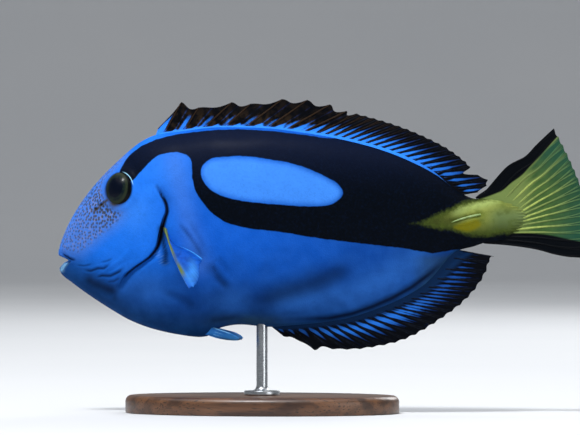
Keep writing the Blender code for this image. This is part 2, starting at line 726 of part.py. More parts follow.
def make_fins(colours):
    bones = DORSAL_SPINES + evenly(DORSAL_RAYS, DORSAL_RAY_COUNT) + DORSAL_REAR_RAYS
    notches = np.full(len(bones), SOFT_NOTCH)
    notches[:len(DORSAL_SPINES)] = SPINY_NOTCH
    notches[DORSAL_TEAR_AFTER - 1] = TEAR_NOTCH
    median_fin("dorsal_fin", True, bones, notches, colours["black"])
    bones = ANAL_SPINES + evenly(ANAL_RAYS, ANAL_RAY_COUNT)
    notches = np.full(len(bones), SOFT_NOTCH)
    notches[:len(ANAL_SPINES)] = SPINY_NOTCH
    median_fin("anal_fin", False, bones, notches, colours["black"])
    caudal_fin(colours["yellow"])
    for side, word in ((-1, "left"), (1, "right")):
        pectoral_fin(f"pectoral_fin_{word}", side, colours["blue"])
        pelvic_fin(f"pelvic_fin_{word}", side, colours["blue"])


def make_stand(colours):
    bpy.ops.mesh.primitive_cylinder_add(vertices=BASE_SIDES, radius=0.5, depth=BASE_THICKNESS * MM)
    base = bpy.context.object
    base.name = "stand_base"
    for vertex in base.data.vertices:
        vertex.co.x *= BASE_LENGTH * MM
        vertex.co.y *= BASE_WIDTH * MM
        vertex.co.z += BASE_THICKNESS / 2 * MM
    bevel = base.modifiers.new("edge", "BEVEL")
    bevel.width = BASE_EDGE * MM
    bevel.segments = 1
    bevel.limit_method = "ANGLE"
    bevel.angle_limit = math.radians(60)
    finish(move_to(fish, base), colours["wood"])

    foot = BASE_THICKNESS + GAP
    rim = foot + ROD_FOOT_THICKNESS
    top = AXIS_HEIGHT + keel(0.0) + SOCKET_DEPTH
    profile = [
        (0.0, top), (ROD_RADIUS - 0.5, top), (ROD_RADIUS, top - 0.5), (ROD_RADIUS, rim + 2.0),
        (ROD_RADIUS + 0.9, rim + 0.6), (ROD_RADIUS + 2.4, rim), (ROD_FOOT_RADIUS - 0.4, rim),
        (ROD_FOOT_RADIUS, rim - 0.4), (ROD_FOOT_RADIUS, foot), (0.0, foot),
    ]
    mesh = bpy.data.meshes.new("stand_rod")
    edges = [(i, i + 1) for i in range(len(profile) - 1)]
    mesh.from_pydata([(r * MM, 0.0, z * MM) for r, z in profile], edges, [])
    rod = bpy.data.objects.new("stand_rod", mesh)
    fish.objects.link(rod)
    turn = rod.modifiers.new("turn", "SCREW")
    turn.steps = turn.render_steps = ROD_SIDES
    turn.use_merge_vertices = True
    turn.merge_threshold = 0.00001
    turn.use_smooth_shade = True
    rod.data.materials.append(colours["steel"])


for leftover in list(bpy.data.objects):
    bpy.data.objects.remove(leftover)
fish = bpy.data.collections.new("regal blue tang on a stand")
cutters = bpy.data.collections.new("cutters")
for made in (fish, cutters):
    bpy.context.scene.collection.children.link(made)

palette = {
    "blue": painted("tang blue skin", 0x2878E8, 0.42),
    "black": painted("black fin", 0x0B1018, 0.5),
    "yellow": painted("yellow tail", 0xC9BE45, 0.45),
    "pale": painted("pale bone", 0xDCE6C0, 0.35),
    "eye": painted("dark eye", 0x10171C, 0.12),
    "wood": painted("satin walnut", 0x4A3122, 0.45),
    "steel": painted("brushed steel", 0xB8BCC0, 0.3, 1.0),
}
make_head(palette)
make_torso(palette)
make_stalk(palette)
make_fins(palette)
make_stand(palette)
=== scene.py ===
"""The looks of a regal blue tang, a still, life-size museum model on a display stand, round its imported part.

The fish faces -X with its left side towards -Y, and Z is up. Sizes are in millimetres until points are made,
and a height on the fish counts from its axis.
"""
import math

import bmesh
import bpy
import numpy as np
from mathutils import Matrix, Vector


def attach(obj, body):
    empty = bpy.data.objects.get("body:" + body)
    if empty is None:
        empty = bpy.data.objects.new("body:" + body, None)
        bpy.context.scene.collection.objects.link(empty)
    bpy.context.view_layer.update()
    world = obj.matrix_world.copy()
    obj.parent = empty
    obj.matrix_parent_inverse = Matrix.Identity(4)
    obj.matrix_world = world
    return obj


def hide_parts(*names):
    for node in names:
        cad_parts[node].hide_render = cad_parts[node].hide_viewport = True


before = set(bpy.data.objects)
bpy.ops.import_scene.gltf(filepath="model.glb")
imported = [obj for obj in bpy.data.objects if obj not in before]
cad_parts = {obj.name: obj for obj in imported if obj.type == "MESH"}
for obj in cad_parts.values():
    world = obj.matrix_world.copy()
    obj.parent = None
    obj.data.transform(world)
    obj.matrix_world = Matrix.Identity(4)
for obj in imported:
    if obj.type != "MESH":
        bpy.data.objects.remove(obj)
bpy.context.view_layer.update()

# The skin: one resin cast of the whole fish, from its lips to the scaly foot of the tail fin. The gill
# covers, lips, folds and the rims of the eyes are in the cast. It is painted by hand in royal blue, with
# the black palette mark and the yellow wedge of the species, and sealed with a satin lacquer.
MM = 0.001
AXIS_HEIGHT = 85
TAIL_TIP = 151.8
# The back's and the keel's height and half the body's width, at places along the fish
BACK = (
    (-92.6, -11.6), (-91.8, -8.3), (-90, -3.5), (-87.2, 2.3), (-81.8, 10.9), (-74.5, 19.9), (-65.4, 28.9),
    (-60.4, 33.3), (-54.5, 37.6), (-48.5, 40.2), (-37.5, 41.9), (-19, 43.8), (-1, 43.5), (17.5, 41.5),
    (35.5, 38.4), (53.5, 33.8), (71.8, 26.3), (81, 20.8), (86, 16.7), (91, 13.2), (97, 11.3),
    (104, 12), (112, 15.5),
)
KEEL = (
    (-92.6, -20.9), (-91.6, -22.6), (-87.2, -26.2), (-78.2, -32.6), (-69.1, -38.4), (-60, -43.5),
    (-50, -47.2), (-38, -49.8), (-28.5, -50.9), (-25, -50.5), (-22, -48.6), (-18, -46.4),
    (-10, -45.2), (3.6, -46.2), (17.3, -45.4), (35.4, -43.2), (53.6, -37.8), (71.8, -28.8), (79, -22),
    (84.5, -15.2), (88.4, -11.9), (95, -10.1), (102, -8.2), (112, -9.2),
)
GIRTH = (
    (-92.6, 3.4), (-91.6, 4.3), (-88, 5.6), (-83, 7.1), (-76, 9.2), (-68, 11.2), (-60, 12.8),
    (-50, 14.3), (-38, 15.4), (-24, 15.7), (-6, 15.1), (14, 13.5), (34, 11.4), (54, 9),
    (72, 6.7), (86, 5.1), (98, 4.3), (105, 3.2), (110, 2.1), (114, 1.3),
)
BACK_ROUNDNESS = ((-92.6, 2.6), (-62, 2.7), (-36, 2.15), (114, 2.1))
BELLY_ROUNDNESS = 2.25
WIDEST = 0.57
EDGE_SOFTNESS = 0.6
SWAY_START, SWAY_TIP = 12, 8

# Lines down the side, as the distance along the fish at each height: the lips, the gill cover's edge
LIP_LINE = (
    (-23.5, -91.3), (-20.9, -92), (-19, -90.7), (-17.4, -89.2), (-16.4, -87.4), (-15.5, -88.5),
    (-14.4, -90.6), (-13.3, -92.2), (-11.6, -92.35), (0, -92.35),
)
GILL_LINE = (
    (-62, -67), (-46, -66.6), (-34, -65.6), (-28, -64.2), (-23, -61), (-18.6, -55.4),
    (-14.5, -49.4), (-9.4, -45.6), (-4, -44.2), (2, -42.6), (6, -41.4), (9, -41.9), (14, -44.6),
    (26, -48), (40, -50.6), (56, -51),
)
GILL_TOP, GILL_FOOT = 14.5, -27
GILL_COVER_LIFT, GILL_COVER_REACH = 0.9, 8
# Across the slit behind the cover: how far behind the cover's edge, and how far out of the skin
SLIT_PROFILE = (
    (-2, 0.86), (-1.3, 0.89), (-0.7, 0.86), (-0.25, 0.68), (0, 0.32), (0, -0.1), (-0.3, -0.55),
    (-0.45, -1.05), (0.05, -1.55), (0.85, -1.68), (1.7, -1.42), (2.7, -0.95), (3.9, -0.48), (5.3, -0.16),
)
MOUTH_CENTRE = -16.6
# The lips rolling in to the mouth: the size of each ring against the first, and how far it lies behind it
LIP_ROLL = (
    (0.94, -0.2), (0.87, -0.25), (0.8, -0.12), (0.73, 0.2), (0.67, 0.7), (0.62, 1.5), (0.58, 2.8),
    (0.5, 4.6), (0.36, 6.4), (0.16, 7.4),
)
# The skin's end over the tail fin's foot: how far out each ring lies, and its thickness against the last one
TAIL_FEATHER = ((0.6, 0.96), (1.3, 0.88), (2.2, 0.77), (3.1, 0.63), (4, 0.47), (4.8, 0.3), (5.4, 0.14))
EYE_X, EYE_HEIGHT, EYE_NARROWNESS = -63.4, 15.9, 0.9
CHEEK, CHEEK_REACH, CHEEK_LIFT = (-58, -2), 12, 0.5
BLADE_HEEL, BLADE_TIP = (99, 4.4), (85.8, 0.8)
NOSTRILS = ((-74.3, 6.9, 0.7), (-71.7, 8.9, 0.85))
STALK_X = 95.5
TAIL_ROOT_X, TAIL_ROOT_HEIGHT = 113.5, 4
TAIL_TOP_RAY, TAIL_RAY_SPACING = 11.6, 1.32
HEAD_RINGS, TORSO_RINGS, STALK_RINGS, SIDE_ROWS = 112, 150, 26, 146

# The palette mark and the patches that it leaves blue, as smooth closed lines round (along, height) points
PALETTE_MARK = (
    (-63.6, 22.6), (-62, 27.2), (-59.1, 31.4), (-54.6, 35), (-50.1, 37.1), (-45.5, 38.7), (-37, 40.6),
    (-19, 42.5), (-1, 42.3), (17.5, 40.4), (31, 38.6), (40, 39.8), (60, 37), (78, 30),
    (90, 20), (104, 20), (122, 20), (122, -16), (100, -14), (90, -11.4),
    (83, -12.2), (77, -12.9), (64.7, -10.9), (46.6, -8.7), (28.4, -6.5), (10.2, -3.5), (-3.4, -2),
    (-10.2, -0.4), (-14.8, 1.2), (-19.3, 4.1), (-23, 7.7), (-26.1, 11.8), (-28.3, 16), (-29.5, 20.4),
    (-29.9, 24.4), (-30.1, 27.6), (-31.4, 30), (-34.2, 31.6), (-38, 32.3), (-42.2, 31.8), (-46, 30.6),
    (-49.4, 27.8), (-53, 23.9), (-56.6, 19.9), (-60, 19),
)
OVAL_PATCH = (
    (-25.7, 23.2), (-24.4, 27), (-20.6, 29.5), (-13.3, 30.3), (-4, 30.2), (6, 28.8), (14, 27.4),
    (22, 24.9), (29, 21.8), (35, 18.4), (37.9, 14.7), (36.3, 10.9), (31.6, 8.5), (25, 7.9),
    (16, 8.3), (6, 9.1), (-3, 9.9), (-12, 11.5), (-19.5, 14.4), (-24, 18.8),
)
SPECKLED_FACE = (
    (-71.2, 15.6), (-67, 8.6), (-61, 5), (-64, 0), (-70, -4.6), (-76, -9.4), (-83, -13.6),
    (-91, -12), (-96, -6), (-90, 2), (-84, 12), (-80, 24), (-72, 33), (-65.5, 35.5),
    (-61, 31), (-65.6, 24.6), (-70.4, 19.4),
)
AMBER_PATCH = ((87.4, -1.5), (91.5, 0.4), (97, 1.8), (98.6, -0.6), (93.6, -3))
# The yellow's upper and lower edges, along the stalk and on over the tail fin
YELLOW_TOP = (
    (66, 1.3), (71.5, 1.7), (75, 2.6), (81.5, 5.1), (86, 7.1), (90.5, 9.3), (95.1, 10.6), (99.6, 11.6),
    (103.8, 13.1), (108, 14.9), (112.3, 18.5), (116.7, 21.7), (121.1, 26.4), (125.6, 31.1), (132.3, 38.8),
    (136, 43),
)
YELLOW_LOW = (
    (66, -0.8), (72.4, -1.2), (77, -1.5), (81.5, -1.9), (86, -2.4), (90.6, -3.9), (95.1, -5),
    (99.6, -5.3), (103.8, -4.9), (108, -4.1), (119, -4), (125.6, -4.4), (130.1, -5), (134.6, -6),
    (143.6, -7.8), (153, -9.2),
)
# Folds in the skin: how deep each is pressed, how broad it is, how dark the painted shade in it is, and its
# line
FOLDS = (
    (0.35, 0.6, 0.6, (-91, -13.2), (-87, -15.6), (-83.5, -16.6)),
    (0.35, 0.55, 0.75, (-81.5, -20.6), (-77, -21.2), (-73.5, -20), (-70.5, -20), (-67, -17.8)),
    (0.4, 0.6, 0.8, (-75.5, -24.4), (-71.5, -23.2), (-67.5, -23.4), (-63.5, -21.6), (-60.6, -19.4)),
    (0.2, 0.4, 0.4, (-84, -18.6), (-80, -18.9), (-76, -18.2)),
    (0.25, 0.5, 0.55, (-70, -26.2), (-66, -25.8), (-62, -23.6)),
    (0.2, 0.45, 0.4, (-72, -17.2), (-69, -16.8), (-66, -15.4)),
    (0.3, 2.4, 0.8, (-82, -23), (-76, -26.6), (-69, -29.4), (-63, -31)),
    (0.3, 1.6, 0.4, (-64, -25), (-66, -31), (-66.5, -36)),
    (0.3, 0.7, 0.5, (-46.6, 18.6), (-44.8, 15.6), (-42.6, 11.6), (-41, 7.4)),
    (
        0.5, 0.65, 0.42, (-37, 2.6), (-33.5, -2), (-30.5, -5.8), (-27.6, -9.6), (-25.6, -13.2),
        (-25, -18),
    ),
    (0.25, 0.9, 0.2, (-31.5, 3), (-28.4, -2.4), (-25.4, -7.6), (-23.6, -12.4)),
    (0.45, 1.5, 0.65, (-22.6, -16.4), (-20, -20.6), (-17.2, -25), (-12.4, -30.2)),
    (0.3, 1.2, 0.2, (-19, -14), (-15.4, -18.4), (-13, -22.6)),
    (0.3, 2, 0.3, (-44, -30), (-36, -33), (-27, -38)),
    (0.6, 4.2, 0.62, (-10, -37.5), (6, -33), (20, -28.6), (34, -23), (46, -17.5)),
    (0.3, 1.2, 0.5, (-24, -43.5), (-18, -42.8), (-8, -41.2)),
    (
        0.5, 1.1, 1, (2, -43.6), (18, -42.7), (31, -42.2), (41, -40.2), (50, -37.1),
        (59, -33.2), (68, -28.2), (75, -23), (82, -17), (90, -11),
    ),
    (0.3, 0.6, 0, (-69.4, 10.4), (-74.6, 6.2)),
)


def through(stations):
    """A smooth line through (position, value) stations that doesn't overshoot them."""
    at, value = np.array(stations, float).T
    step = np.diff(at)
    slope = np.diff(value) / step
    before, after = slope[:-1], slope[1:]
    same_way = before * after > 0
    safe = np.where(same_way, before * after, 1)
    heavy, light = 2 * step[1:] + step[:-1], step[1:] + 2 * step[:-1]
    mean = (heavy + light) * safe / (heavy * after + light * before + np.where(same_way, 0, 1e9))
    tangent = np.concatenate([slope[:1], np.where(same_way, mean, 0), slope[-1:]])

    def line(position):
        place = np.clip(position, at[0], at[-1])
        k = np.clip(np.searchsorted(at, place, side="right") - 1, 0, len(step) - 1)
        t = (place - at[k]) / step[k]
        rise = t * t * (3 - 2 * t)
        bend = t * (1 - t) * ((1 - t) * tangent[k] - t * tangent[k + 1]) * step[k]
        return value[k] * (1 - rise) + value[k + 1] * rise + bend

    return line


def fade(value, start, end):
    """0 before start and 1 after end, with a smooth step between."""
    t = np.clip((value - start) / (end - start), 0, 1)
    return t * t * (3 - 2 * t)


def bell(distance, reach):
    """1 at no distance, a third at its reach, and 0 well beyond it."""
    return np.exp(-((distance / reach) ** 2))


back, keel, girth = through(BACK), through(KEEL), through(GIRTH)
back_roundness = through(BACK_ROUNDNESS)
gill_line, lip_line = through(GILL_LINE), through(LIP_LINE)
yellow_top, yellow_low = through(YELLOW_TOP), through(YELLOW_LOW)


def tail_root(height):
    """Where the stalk ends and the tail fin begins: a bow, rounded towards the tail."""
    rise = np.clip(height - TAIL_ROOT_HEIGHT, -14, 8)
    return TAIL_ROOT_X - np.where(rise > 0, 0.26, 0.078) * rise ** 2


def plain_half_width(x, height):
    """Half the body's width at a point of its side, before the skin's relief."""
    top, low = back(x), keel(x)
    waist = low + WIDEST * (top - low)
    above = height > waist
    share = np.where(above, (height - waist) / (top - waist), (waist - height) / (waist - low))
    power = np.where(above, back_roundness(x), BELLY_ROUNDNESS)
    return girth(x) * (1 - np.clip(share, 0, 1) ** power) ** EDGE_SOFTNESS


def points_of(x, y, height):
    """Points in metres, from mm along, across and above the fish's axis, with its tail end swung aside."""
    sway = SWAY_TIP * (np.clip(x - SWAY_START, 0, None) / (TAIL_TIP - SWAY_START)) ** 2
    x, y, height = np.broadcast_arrays(np.asarray(x, float), y + sway, height)
    return np.stack([x, y, height + AXIS_HEIGHT], axis=-1) * MM


def gill_open(height):
    """1 along the gill slit, and 0 above its top and below its foot."""
    return fade(height, GILL_FOOT - 5, GILL_FOOT + 3) * (1 - fade(height, GILL_TOP - 3, GILL_TOP + 4))


def from_eye(x, height):
    """Millimetres from the eye's centre, the eye being a little narrower than tall."""
    return np.hypot((x - EYE_X) / EYE_NARROWNESS, height - EYE_HEIGHT)


def from_line(x, height, line):
    """Millimetres from a line of straight runs, and how far along it, from 0 to 1."""
    line = np.array(line, float)
    nearest, along = np.full(np.shape(x), 1e9), np.zeros(np.shape(x))
    for k, (a, b) in enumerate(zip(line[:-1], line[1:])):
        run = b - a
        t = np.clip(((x - a[0]) * run[0] + (height - a[1]) * run[1]) / (run @ run), 0, 1)
        away = np.hypot(x - a[0] - t * run[0], height - a[1] - t * run[1])
        along = np.where(away < nearest, (k + t) / (len(line) - 1), along)
        nearest = np.minimum(nearest, away)
    return nearest, along


def inside(x, height, corners, steps=8):
    """Millimetres inside a smooth closed line round the corners, and below 0 outside it."""
    corners = np.array(corners, float)
    before, after, later = np.roll(corners, 1, 0), np.roll(corners, -1, 0), np.roll(corners, -2, 0)
    line = []
    for t in np.arange(steps) / steps:
        curve = 2 * corners + (after - before) * t
        curve += (2 * before - 5 * corners + 4 * after - later) * t ** 2
        line.append((curve + (3 * corners - before - 3 * after + later) * t ** 3) / 2)
    line = np.stack(line, axis=1).reshape(-1, 2)
    crossings = np.zeros(np.shape(x), int)
    for (ax, az), (bx, bz) in zip(line, np.roll(line, -1, 0)):
        if az != bz:
            crossed = (az > height) != (bz > height)
            crossings += crossed & (x < ax + (height - az) * (bx - ax) / (bz - az))
    away, _ = from_line(x, height, np.concatenate([line, line[:1]]))
    return np.where(crossings % 2 == 1, away, -away)


def spot(x, height, centre, reach, stretch=1):
    """1 at a centre on the side and 0 well beyond its reach, which is longer by stretch along the fish."""
    return bell(np.hypot((x - centre[0]) / stretch, height - centre[1]), reach)


def stroke(x, height, reach, *line):
    """1 along a line on the side and 0 well beyond its reach."""
    return bell(from_line(x, height, line)[0], reach)


def each_fold(x, height):
    """For each fold: how far points lie from it, its depth, its breadth and its painted shade, which end
    softly.
    """
    for depth, breadth, shade_strength, *line in FOLDS:
        away, along = from_line(x, height, line)
        ends = fade(along, 0, 0.25) * (1 - fade(along, 0.75, 1))
        yield away, depth * ends, breadth, shade_strength * ends


def skin_relief(x, height):
    """How far gill cover, eye's rim, cheek, folds, nostrils and blade's groove raise the skin."""
    before_gill = gill_line(height) - x
    relief = GILL_COVER_LIFT * np.where(before_gill >= 0, bell(before_gill, GILL_COVER_REACH), 0)
    relief = (relief + 0.35 * bell(before_gill - 11, 2.2)) * gill_open(height)
    away = from_eye(x, height)
    relief += 0.8 * bell(away - 8.4, 1.9) + 0.3 * bell(away - 7.3, 0.5) - 0.7 * (1 - fade(away, 6, 7))
    relief += CHEEK_LIFT * spot(x, height, CHEEK, CHEEK_REACH)
    for away, depth, breadth, _ in each_fold(x, height):
        relief += depth * (0.5 * bell(away - 1.9 * breadth, breadth) - bell(away, breadth))
    for nostril_x, nostril_height, reach in NOSTRILS:
        away = np.hypot(x - nostril_x, height - nostril_height)
        relief += 0.35 * bell(away - 1.3 * reach, 0.4) - 0.9 * bell(away, 0.75 * reach)
    away, _ = from_line(x, height, (BLADE_HEEL, BLADE_TIP))
    return relief - 0.45 * bell(away, 1.1) + 0.25 * bell(away - 2, 0.9)


def lips(part):
    """The roll of the lips round the mouth, by the part of the head's length behind them."""
    return 0.7 * (bell(part - 0.012, 0.014) - 0.7 * bell(part - 0.045, 0.018))


rows = np.linspace(0, 1, SIDE_ROWS + 1)
share = 0.5 - 0.5 * (0.55 * np.cos(math.pi * rows) + 0.45 * (1 - 2 * rows))
side_rings = []


def add_ring(line, raise_by):
    """Adds a ring of the skin's left half, from the keel to the back, where line puts it at each height."""
    height = np.zeros_like(share)
    for _ in range(40):
        x = line(height)
        height = (height + keel(x) + share * (back(x) - keel(x))) / 2
    plain = plain_half_width(x, height)
    width = plain + raise_by(x, height) * np.clip(plain / 6, 0, 1)
    width[[0, -1]] = 0
    side_rings.append(np.stack([x, width, height], axis=-1))


for part in np.linspace(0, 1, HEAD_RINGS) ** 1.25:
    add_ring(
        lambda h: (1 - part) * lip_line(h) + part * (gill_line(h) - 2.6),
        lambda x, h: skin_relief(x, h) + lips(part),
    )
for (behind, lift), flat in zip(SLIT_PROFILE, np.linspace(-2, 5.3, len(SLIT_PROFILE))):
    add_ring(
        lambda h: gill_line(h) + gill_open(h) * behind + (1 - gill_open(h)) * flat,
        lambda x, h: gill_open(h) * lift + (1 - gill_open(h)) * skin_relief(x, h),
    )
for part in np.linspace(0, 1, TORSO_RINGS):
    add_ring(lambda h: (1 - part) * (gill_line(h) + 6.2) + part * STALK_X, skin_relief)
for part in np.linspace(0, 1, STALK_RINGS)[1:]:
    add_ring(lambda h: (1 - part) * STALK_X + part * tail_root(h), skin_relief)

# The mouth, drawn in from the first ring, and the skin's end, drawn out over the foot of the tail fin
first, last = side_rings[0], side_rings[-1]
throat = [first * (1, size, size) + (behind, 0, MOUTH_CENTRE * (1 - size)) for size, behind in LIP_ROLL]
ray_tops = 0.5 + 0.5 * np.cos(2 * math.pi * (TAIL_TOP_RAY - last[:, 2]) / TAIL_RAY_SPACING)
drawn_out = np.outer(0.8 + 0.3 * ray_tops, (1, 0, 0))
feather = [last * (1, thinner, 1) + step * drawn_out for step, thinner in TAIL_FEATHER]
skin_sites = np.array(throat[::-1] + side_rings + feather)
skin_sites = np.concatenate([skin_sites, skin_sites[:, -2:0:-1]], axis=1)
x, width, height = np.moveaxis(skin_sites, -1, 0)
ring_count, around = x.shape
side = np.where(np.arange(around) <= SIDE_ROWS, -1, 1)


def loft_faces(rings, around, caps=2):
    """Faces between rings of points. Of the first and last ring, caps says how many are closed."""
    faces = [tuple(range(start, start + around)) for start in (0, (rings - 1) * around)[:caps]]
    for start in range(0, (rings - 1) * around, around):
        for j in range(around):
            a, b = start + j, start + (j + 1) % around
            faces.append((a, b, b + around, a + around))
    return faces


def into_scene(name, data):
    """An object of a mesh, a light or a camera, linked into the scene."""
    made = bpy.data.objects.new(name, data)
    bpy.context.scene.collection.objects.link(made)
    return made


def mesh_object(name, points, faces, material):
    """A smooth mesh object with its faces turned outwards."""
    mesh = bpy.data.meshes.new(name)
    mesh.from_pydata(np.reshape(points, (-1, 3)).tolist(), [], faces)
    work = bmesh.new()
    work.from_mesh(mesh)
    bmesh.ops.recalc_face_normals(work, faces=work.faces)
    work.to_mesh(mesh)
    work.free()
    mesh.shade_smooth()
    mesh.materials.append(material)
    return into_scene(name, mesh)


def keep_values(made, kind="FLOAT", **values):
    """Stores values for the points, which the paint reads. A sheet's far face repeats its near face's."""
    field, size = ("value", 1) if kind == "FLOAT" else ("vector", 3)
    for name, value in values.items():
        attribute = made.data.attributes.new(name, kind, "POINT")
        whole = np.resize(value, len(made.data.vertices) * size)
        attribute.data.foreach_set(field, whole.astype(np.float32))


def linear(colour):
    """A linear colour from an sRGB one given as a hex number."""
    parts = [((colour >> shift) & 255) / 255 for shift in (16, 8, 0)]
    return tuple(c / 12.92 if c <= 0.04045 else ((c + 0.055) / 1.055) ** 2.4 for c in parts) + (1,)


def feed(node, inputs):
    """Sets a node's inputs, by identifier or name.

    Each is a number, a colour as a hex number, another node's output, or the name of a value that the mesh
    keeps for each point.
    """
    for key, value in inputs.items():
        socket = next(s for s in node.inputs if key in (s.identifier, s.name))
        if isinstance(value, str) and socket.type != "STRING":
            value = add(node.id_data, "ShaderNodeAttribute", attribute_name=value).node.outputs["Fac"]
        if isinstance(value, bpy.types.NodeSocket):
            node.id_data.links.new(value, socket)
        else:
            socket.default_value = linear(value) if socket.type == "RGBA" else value


def add(tree, kind, inputs=None, **settings):
    """Adds a node with its settings and links, and gives its first output in use, if it has one."""
    node = tree.nodes.new(kind)
    for name, value in settings.items():
        setattr(node, name, value)
    feed(node, inputs or {})
    return next((s for s in node.outputs if s.enabled), None)


def new_material(name):
    """A material with only a Principled shader and an output, its tree, that shader and its coordinates."""
    material = bpy.data.materials.new(name)
    material.use_nodes = True
    tree = material.node_tree
    place = add(tree, "ShaderNodeTexCoord").node.outputs["Object"]
    return material, tree, tree.nodes["Principled BSDF"], place


def coats(tree, colour, *laid):
    """Lays coats of paint over a first colour.

    Each coat is a colour and where it lies: a share, the name of a value that the mesh keeps, or (value, none
    here, all here, most). A coat with more than one such place lies where they all say.
    """
    for coat, *places in laid:
        share = None
        for place in places:
            if isinstance(place, tuple):
                value, none, full, most = (*place, 1)[:4]
                ends = {"Value": value, "From Min": none, "From Max": full, "To Max": most}
                place = add(tree, "ShaderNodeMapRange", ends, interpolation_type="SMOOTHSTEP")
            if share is not None:
                both = {"Value": share, "Value_001": place}
                place = add(tree, "ShaderNodeMath", both, operation="MULTIPLY")
            share = place
        mix = {"Factor_Float": share, "A_Color": colour, "B_Color": coat}
        colour = add(tree, "ShaderNodeMix", mix, data_type="RGBA")
    return colour


def wavering(tree, value, noise, least, greatest, reach):
    """A value that the mesh keeps, moved by up to reach as the noise goes from least to greatest."""
    ends = {"Value": noise, "From Min": least, "From Max": greatest, "To Min": -reach, "To Max": reach}
    shift = add(tree, "ShaderNodeMapRange", ends)
    return add(tree, "ShaderNodeMath", {"Value": value, "Value_001": shift}, operation="ADD")


# Hand-painted resin under satin lacquer: deep, even colours with a soft highlight, and the faint grain of
# the tang's tiny scales, drawn about 0.6 mm across, coarser than real, so that it shows
skin_paint, tree, shader, place = new_material("satin lacquer on painted resin skin")
along, across, up = add(tree, "ShaderNodeSeparateXYZ", {"Vector": place}).node.outputs
# A scale counts what goes into a metre: patches of 13 mm, waves and mottle of 6, blotches of 4, an edge
# that wavers every 3, and fringe and stipple of 1
patches, waves, mottle, blotches, waver, fringe, stipple = (
    add(tree, "ShaderNodeTexNoise", {"Vector": place, "Scale": scale, "Detail": detail})
    for scale, detail in ((75, 5), (150, 4), (160, 4), (240, 6), (300, 3), (800, 5), (900, 3))
)
grain = add(tree, "ShaderNodeTexVoronoi", {"Vector": place, "Scale": 1600})

# The dots of the face, about 0.9 mm across and 1.7 mm apart, larger near the eye. They are strewn over the
# side as seen and wrapped round the front, and a fine wobble keeps them from being round.
wobble = add(tree, "ShaderNodeTexNoise", {"Vector": place, "Scale": 420, "Detail": 2})
wobble = {"Vector": wobble.node.outputs["Color"], "Scale": 0.0006}
wobble = add(tree, "ShaderNodeVectorMath", wobble, operation="SCALE")
wrapped = add(tree, "ShaderNodeMath", {"Value": across}, operation="ABSOLUTE")
wrapped = add(tree, "ShaderNodeMath", {"Value": along, "Value_001": wrapped}, operation="ADD")
wrapped = add(tree, "ShaderNodeCombineXYZ", {"X": wrapped, "Y": up})
wrapped = add(tree, "ShaderNodeVectorMath", {"Vector": wrapped, "Vector_001": wobble}, operation="ADD")
dots = {"Vector": wrapped, "Scale": 590, "Randomness": 0.75}
dots = add(tree, "ShaderNodeTexVoronoi", dots, voronoi_dimensions="2D")
dot_radius = add(tree, "ShaderNodeMapRange", {"Value": "near_eye", "To Min": 0.29, "To Max": 0.45})
dot = add(tree, "ShaderNodeMath", {"Value": dot_radius, "Value_001": dots}, operation="SUBTRACT")
brown = coats(tree, 0x2E3C50, (0x464230, (mottle, 0.35, 0.65)))
dusted = coats(tree, 0x10306C, (0x3F86EA, (mottle, 0.3, 0.7)))
blue = coats(
    tree, 0x186EE2,
    # darker towards the rear, partly painted shade, and darker below the middle towards the belly, painted
    # shade under light from above
    (0x1059C6, (along, -0.055, -0.02)),
    (0x0E3E8A, (along, -0.02, 0.08)),
    (0x0C3A80, (up, 0.078, 0.044)),
    # painted shade low on the body, deepest under the head and in a band along the keel
    (0x0C3056, "keel_wash"),
    # lighter dusty-blue mottle low on the side, and painted light on the throat
    (0x245CAE, "dusty"),
    (0x2A4038, "olive"),
    # the pale oval patch of the species, and painted light on the brow, the upper flank and the gill cover
    (0x3E86E8, "lit"),
    (0x4A78CC, "lilac"),
    (dusted, 0.07),
    (0x123A86, (stipple, 0.4, 0.8, 0.13)),
    # darker patches at random, only low on the side, so that the blue darkens towards the bottom
    (0x0C2C62, (patches, 0.42, 0.68, 0.3), (up, 0.085, 0.055)),
    # painted shade in the skin's folds and grooves
    (0x081834, "folds"),
    (0x8484A8, (stipple, 0.48, 0.66, 0.7), "speckled"),
    (brown, (dot, -0.1, 0.15), "speckled"),
    (0x3E3A34, "brown"),
)

# The palette mark, with an edge that wavers by a quarter of a millimetre and painted light that leaves its top
# a
# shade paler, and the yellow of the stalk: olive and stippled at its edge, with a painted highlight along its
# upper part, painted shade towards its lower edge, and amber under the blade, partly painted shade in its
# groove
band = wavering(tree, "band", waver, 0.2, 0.8, 0.25)
# The black is a shade paler near the back and darker lower down: painted light from above
black = coats(tree, 0x08122A, (0x040810, (up, 0.128, 0.095)), (0x10203C, (stipple, 0.45, 0.8, 0.2)))
wedge = wavering(tree, "wedge", fringe, 0.25, 0.75, 0.7)
yellow = coats(
    tree, 0x66722E,
    (0x868E44, (mottle, 0.25, 0.75)),
    (0x66784A, "tail_end"),
    # painted highlight along the stalk's upper part
    (0x98AA62, "sunny"),
    # painted shade in olive towards the yellow's lower edge
    (0x38441C, "low_olive"),
    (0x343C18, "fore_olive"),
    (0x3C481C, (wedge, 2.8, 0.2)),
    (0x48561F, (blotches, 0.48, 0.68, 0.45)),
    # amber under the blade, partly painted shade in the blade's groove
    (0x726E10, "amber"),
    (0x5C6C2E, (stipple, 0.45, 0.8, 0.25)),
)
painted = coats(
    tree, blue,
    (black, (band, -0.25, 0.3)),
    (yellow, (wedge, -1.5, 1.2)),
    (0x8CC4EE, "pale"),
    # painted shade in the mouth, the gill slit and the eye's socket, and the dark axil behind the slit, partly
    # painted shade
    (0x04070E, "dark"),
    # painted highlight on the eye's rim at its upper rear
    (0x9CD4F0, ("from_eye", 7.45, 7.7), ("from_eye", 8.1, 7.8), "crescent"),
)
satin = {"Value": mottle, "From Min": 0.3, "From Max": 0.7, "To Min": 0.48, "To Max": 0.6}
